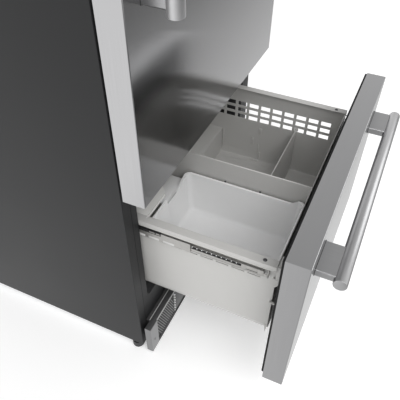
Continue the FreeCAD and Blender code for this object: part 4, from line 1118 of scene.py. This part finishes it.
# Slots in the inner member's web: start and end along it, floor and roof above its foot
WEB_SLOTS = ((14, 40, 4, 6), (52, 187, 8, 16), (196, 232, 4, 6), (244, 386, 6, 9))
MEMBER_LIPS = (
    ("xyz", (0, 0, 0), "XYz", (0, 0, 1.5), 0.4),
    ("xyZ", (0, 0, -1.5), "XYZ", (0, 0, 0), 0.4))
MEMBER_BRACKET = (
    ("xyz", (0, -11, -3), "XyZ", (0, -9, 6), 0.5),
    ("wyz", (0, -11, 0), "wyz", (1.5, 0, 9), 0.4))
# The ball cage behind the slots, with teeth between the balls
CAGE = [
    ("wyz", (2.6, start, 3), "wyZ", (4.2, end, -2), 0.4) for start, end in ((6, 46), (50, 189), (194, 390))]
BALLS = 11
BALL_PITCH = 12
BALL_RADIUS = 2.1 * MM
CAGE_TEETH = [
    ("wyZ", (0.8, 56 + BALL_PITCH * step, -7), "wyZ", (2.6, 59.4 + BALL_PITCH * step, -2), 0.4)
    for step in range(BALLS)]
# The black retainer on the middle member, from the start, end, foot and top of each bar, and its cap
RETAINER = [
    ("wyZ", (-0.15, start, -foot), "wyZ", (0.5, end, -top), 0.05) for start, end, foot, top in (
        (105, 135, 8, 0), (75, 105, 2, 0), (75, 105, 8, 6), (75, 78, 6, 2), (88, 91, 6, 2))]
RETAINER_CAP = ("wyZ", (0, 75, -0.2), "wyZ", (8, 135, 0.9), 0.3)
# Pale patches low on the middle member's web, for the bright dashes seen there
PALE_WEB_PATCHES = [
    ("wyz", (-0.15, start, 0.6), "wyz", (0.5, end, 7.4), 0.05)
    for start, end in ((41, 70), (81, 108), (117, 134))]


class FRIDGE_OT_slides(PieceOperator, bpy.types.Operator):
    """Makes the drawer's slide members with their slots, ball cages and retainers"""

    bl_idname = "fridge.slides"
    bl_label = "Telescopic slides"

    def build(self, stage, colours, detail):
        zinc = plating("slide_zinc")
        for name, side in SIDES:
            inner = "slide_inner_" + name
            middle = "slide_middle_" + name
            dress(zinc, middle, "slide_outer_" + name)
            block_piece(
                "slide_inner_channel_" + name, inner, self.member_rows(), zinc, "freezer_drawer",
                side, replaces=[inner])
            block_piece(
                "slide_cage_" + name, inner, CAGE + CAGE_TEETH, plastic("cage_plastic"), "freezer_drawer",
                side)
            self.make_balls(side, name)
            block_piece(
                "slide_retainer_" + name, middle, [*RETAINER, RETAINER_CAP], plastic("retainer_plastic"),
                middle, side)
            block_piece(
                "slide_pale_patches_" + name, middle, PALE_WEB_PATCHES, plastic("pale_patch_plastic"), middle,
                side)

    def member_rows(self):
        """The member on the drawer: two lips, a web with its slots, and the bracket at its front."""
        rows = list(MEMBER_LIPS)
        edge = 0
        for start, end, floor, roof in WEB_SLOTS:
            rows += (
                ("wyz", (0, edge, 0), "wyZ", (1.5, start, 0), 0.3),
                ("wyz", (0, start, 0), "wyz", (1.5, end, floor), 0.3),
                ("wyz", (0, start, roof), "wyZ", (1.5, end, 0), 0.3))
            edge = end
        rows.append(("wyz", (0, edge, 0), "wYZ", (1.5, 0, 0), 0.3))
        return [*rows, *MEMBER_BRACKET]

    def make_balls(self, side, name):
        """The row of balls in the cage."""
        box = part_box("slide_inner_" + name)
        bm = bmesh.new()
        for step in range(BALLS):
            made = bmesh.ops.create_uvsphere(bm, u_segments=12, v_segments=8, radius=BALL_RADIUS)["verts"]
            place = spot(box, "wyz", (2.2, 63.7 + BALL_PITCH * step, 12), side)
            bmesh.ops.translate(bm, vec=place, verts=made)
        new_piece("slide_balls_" + name, bm, plating("ball_steel"), "freezer_drawer")


# Toe grille

# A dark plate between two recesses of leaning slats, with bright teeth along its ends
RECESS = 109
FRAME = 10
GRILLE_PLATE = (
    ("xyz", (RECESS, 0, 0), "XYZ", (-RECESS, 0, 0), 0.8),
    ("xyz", (0, 0, 0), "XYz", (0, 0, FRAME), 0.8),
    ("xyZ", (0, 0, -FRAME), "XYZ", (0, 0, 0), 0.8))
GRILLE_POCKETS = (("xyz", (0, 2.4, 5), "XYZ", (0, -2, -5), 0.8),)
SLATS = 15
SLAT_PITCH = 7.4
SLAT_HALF = 1.25
SLAT_LEAN = math.radians(24.0)
# Two staggered columns of teeth, counted inwards from each end
GRILLE_TEETH = [
    ("wyz", (RECESS + shift - 2, -1.2, z), "wyz", (RECESS + shift + 2, 2, z + 5.6), 0.7)
    for shift, z in ((2.2 if step % 2 else -2.2, 14 + 6.6 * step) for step in range(13))]
# The dark top cover and its two pale lines, which are painted highlights along its edges
GRILLE_COVER = (
    ("xyZ", (0, 1.2, -0.4), "XyZ", (0, 18, 0.9), 0.4),
    ("xyZ", (30, 20, -6), "XyZ", (-30, 30, -2), 0.5))
GRILLE_LINES = (
    ("xyZ", (39, 0, -1.0), "XyZ", (-39, 2.4, 1.2), 0.4),
    ("xyZ", (30, 18, -2), "XyZ", (-30, 20, 0.9), 0.4))
GRILLE_SCREW_RADIUS = 3.6 * MM


class FRIDGE_OT_toe_grille(PieceOperator, bpy.types.Operator):
    """Makes the toe grille's louvres and its trims"""

    bl_idname = "fridge.toe_grille"
    bl_label = "Toe grille"

    def build(self, stage, colours, detail):
        # The grille's steel ends use a darkened copy of the stainless: painted shade.
        dress(finish("grille_steel_painted_shade", brushed(shade(colours.stainless, 0.52), "x", 0.32)), "toe_grille")
        soften(detail.edge, "toe_grille")
        louvres = "grille_louvres"
        block_piece(
            "grille_plate", louvres, GRILLE_PLATE, plastic("grille_grey"), "cabinet",
            replaces=[louvres])
        block_piece(
            "grille_pockets", louvres, GRILLE_POCKETS, plastic("grille_shadow"), "cabinet")
        self.make_slats(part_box(louvres))
        self.make_teeth(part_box(louvres))
        block_piece(
            "grille_cover", "toe_grille", GRILLE_COVER, plastic("grille_black"), "cabinet")
        block_piece(
            "grille_lines", "toe_grille", GRILLE_LINES, plastic("grille_highlight_line"), "cabinet")
        self.make_screws()

    def make_slats(self, box):
        """Leaning slats, cut off where the frame begins."""
        low, high = box
        bm = bmesh.new()
        for side in (-1, 1):
            turn = Matrix.Rotation(side * SLAT_LEAN, 3, "Y")
            for step in range(SLATS):
                depth = 1 + SLAT_PITCH * step
                first = spot(box, "wyz", (depth - SLAT_HALF, 0.9, 0), side)
                second = spot(box, "wyZ", (depth + SLAT_HALF, 2.6, 0), side)
                verts = slab(bm, first, second)
                bmesh.ops.rotate(bm, verts=verts, cent=(first + second) / 2, matrix=turn)
        for place, outwards in (
                ((0, 0, low.z + FRAME * MM), (0, 0, -1)), ((0, 0, high.z - FRAME * MM), (0, 0, 1)),
                ((low.x, 0, 0), (-1, 0, 0)), ((high.x, 0, 0), (1, 0, 0))):
            cut = bmesh.ops.bisect_plane(
                bm, geom=whole(bm), plane_co=place, plane_no=outwards, clear_outer=True)
            bmesh.ops.holes_fill(bm, edges=only(bmesh.types.BMEdge, cut["geom_cut"]))
        face_outwards(bm)
        new_piece("grille_slats", bm, plastic("slat_grey"), "cabinet")

    def make_teeth(self, box):
        """The teeth at both ends of the plate."""
        bm = bmesh.new()
        for side in (-1, 1):
            blocks(bm, box, GRILLE_TEETH, side)
        new_piece("grille_teeth", bm, plastic("tooth_grey"), "cabinet")

    def make_screws(self):
        """One screw at each end."""
        bm = bmesh.new()
        for side in (-1, 1):
            place = spot(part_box("toe_grille"), "wyo", (19, 0, 54), side)
            screw_head(bm, place, (0, -1, 0), GRILLE_SCREW_RADIUS)
        new_piece("grille_screws", bm, plating("screw_zinc"), "cabinet")


# Feet, machine space and fresh-food space

class FRIDGE_OT_base(PieceOperator, bpy.types.Operator):
    """Finishes the feet, the wheels and the machines behind the toe grille"""

    bl_idname = "fridge.base"
    bl_label = "Base"

    def build(self, stage, colours, detail):
        foot = plastic("foot_plastic")
        dress(foot, "levelling_leg_left", "levelling_leg_right", "roller_left", "roller_right")
        dress(finish("compressor_paint", painted((0.012, 0.012, 0.012), 0.3, 400.0)), "compressor")
        dress(finish("coil_aluminium", brushed((0.62, 0.63, 0.64), "z", 0.4)), "condenser", "evaporator")
        dress(
            plastic("fan_plastic"), "drip_tray", "condenser_fan", "condenser_fan_motor", "evaporator_fan",
            "evaporator_fan_motor")


SHELVES = ("crisper_lid", "shelf_middle", "shelf_upper")
# Draft, corner and foot of the clear tubs, and their wall
CRISPER_ROUNDS = (8 * MM, 16 * MM, 12 * MM)
DOOR_BIN_ROUNDS = (6 * MM, 18 * MM, 10 * MM)
TUB_WALL = 2.4 * MM
GRIP_REACH = 14
CRISPER_GRIP = (
    ("xyZ", (14, 0, -26), "XyZ", (-14, 3, 0), 1.0),
    ("xyZ", (14, 0.5, -3), "XyZ", (-14, GRIP_REACH + 2, 0), 1.0))
DOOR_BINS = 3
DOOR_BIN_PITCH = 330
DOOR_BIN_HEIGHT = 105
SHELF_TRIM = (
    ("xyz", (0, -2, -3), "XyZ", (0, 7, 3), 1.6),
    ("xYz", (0, -8, -3), "XYZ", (0, 1, 6), 1.6))
LAMP_LENS = (("oyz", (-80, 55, -2.5), "oyz", (80, 125, 1), 1.4),)
BUTTONS = (-60, -20, 20, 60)
BUTTON_PROFILE = ((0.0, 3.0), (6.0, 2.8), (7.4, 1.6), (7.6, -0.5), (0.0, -0.5))


class FRIDGE_OT_fresh_food(PieceOperator, bpy.types.Operator):
    """Makes the crispers, door bins and shelf trims, and finishes the inner walls"""

    bl_idname = "fridge.fresh_food"
    bl_label = "Fresh-food space"

    def build(self, stage, colours, detail):
        white = finish("liner_white", moulded(colours.liner_plastic, 0.30))
        dress(white, "fridge_liner", "air_duct", "control_panel", "door_liner")
        # The freezer's liner and evaporator cover are near-black: painted shade for the dark gap seen deep
        # inside the case.
        dress(plastic("freezer_liner_shade_grey"), "freezer_liner", "evaporator_cover")
        dress(finish("shelf_glass", clear((0.75, 0.85, 0.82))), *SHELVES)
        tub = finish("crisper_clear", clear((0.80, 0.83, 0.86), 0.12, 0.40))
        for name in ("crisper_left", "crisper_right"):
            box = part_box(name)
            low = spot(box, "xyz", (0, GRIP_REACH, 0))
            self.make_tub(name + "_tub", low, box[1], CRISPER_ROUNDS, tub, name, [name])
            block_piece(name + "_grip", name, CRISPER_GRIP, white, name)
        self.make_door_bins(tub)
        for name in SHELVES:
            block_piece(name + "_trim", name, SHELF_TRIM, white, "cabinet", segments=3)
        lens = finish("lens_plastic", clear((0.95, 0.94, 0.90), 0.35, 0.85))
        block_piece("lamp_lens", "control_panel", LAMP_LENS, lens, "cabinet", segments=3)
        self.make_buttons()

    def make_tub(self, name, low, high, rounds, material, body, replaces):
        """A clear drafted tub."""
        bm = bmesh.new()
        open_shell(bm, low, high, *rounds)
        face_outwards(bm)
        thicken(new_piece(name, bm, material, body, replaces), TUB_WALL)

    def make_door_bins(self, material):
        """Clear bins with a bright rail along the edge that faces the shelves."""
        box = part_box("door_bins")
        bright = finish("bin_rail", brushed((0.55, 0.55, 0.56), "x", 0.2))
        for step in range(DOOR_BINS):
            number = str(step + 1)
            floor = DOOR_BIN_PITCH * step
            roof = floor + DOOR_BIN_HEIGHT
            low = spot(box, "xyz", (0, 0, floor))
            high = spot(box, "XYz", (0, 0, roof))
            hidden = ["door_bins"] if step == 0 else ()
            self.make_tub("door_bin_" + number, low, high, DOOR_BIN_ROUNDS, material, "upper_door", hidden)
            rail = (("xYz", (22, -3.4, roof - 14), "XYz", (-22, -0.2, roof + 1), 1.0),)
            block_piece("door_bin_rail_" + number, "door_bins", rail, bright, "upper_door")

    def make_buttons(self):
        """A row of plain buttons under the control housing."""
        bm = bmesh.new()
        for x in BUTTONS:
            place = spot(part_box("control_panel"), "oyz", (x, 30, 0))
            turned(bm, BUTTON_PROFILE, place, (0, 0, -1), 24, MM)
        new_piece("control_buttons", bm, plastic("button_grey"), "cabinet")


class FRIDGE_PT_panel(bpy.types.Panel):
    """Lists the steps that build the refrigerator's looks"""

    bl_idname = "FRIDGE_PT_panel"
    bl_label = "Refrigerator"
    bl_space_type = "VIEW_3D"
    bl_region_type = "UI"
    bl_category = "Refrigerator"

    def draw(self, context):
        for operator in OPERATORS:
            self.layout.operator(operator.bl_idname)


SETTINGS = (StageSettings, FinishSettings, DetailSettings)
OPERATORS = (
    FRIDGE_OT_stage,
    FRIDGE_OT_case,
    FRIDGE_OT_fronts,
    FRIDGE_OT_seals,
    FRIDGE_OT_drawer_box,
    FRIDGE_OT_bin,
    FRIDGE_OT_slides,
    FRIDGE_OT_toe_grille,
    FRIDGE_OT_base,
    FRIDGE_OT_fresh_food,
)
CLASSES = (*SETTINGS, *OPERATORS, FRIDGE_PT_panel)


def register():
    for part in CLASSES:
        bpy.utils.register_class(part)
    bpy.types.Scene.fridge_stage = PointerProperty(type=StageSettings)
    bpy.types.Scene.fridge_finish = PointerProperty(type=FinishSettings)
    bpy.types.Scene.fridge_detail = PointerProperty(type=DetailSettings)


def unregister():
    del bpy.types.Scene.fridge_stage
    del bpy.types.Scene.fridge_finish
    del bpy.types.Scene.fridge_detail
    for part in reversed(CLASSES):
        bpy.utils.unregister_class(part)


def main():
    register()
    for operator in OPERATORS:
        group, step = operator.bl_idname.split(".")
        getattr(getattr(bpy.ops, group), step)()


if __name__ == "__main__":
    main()
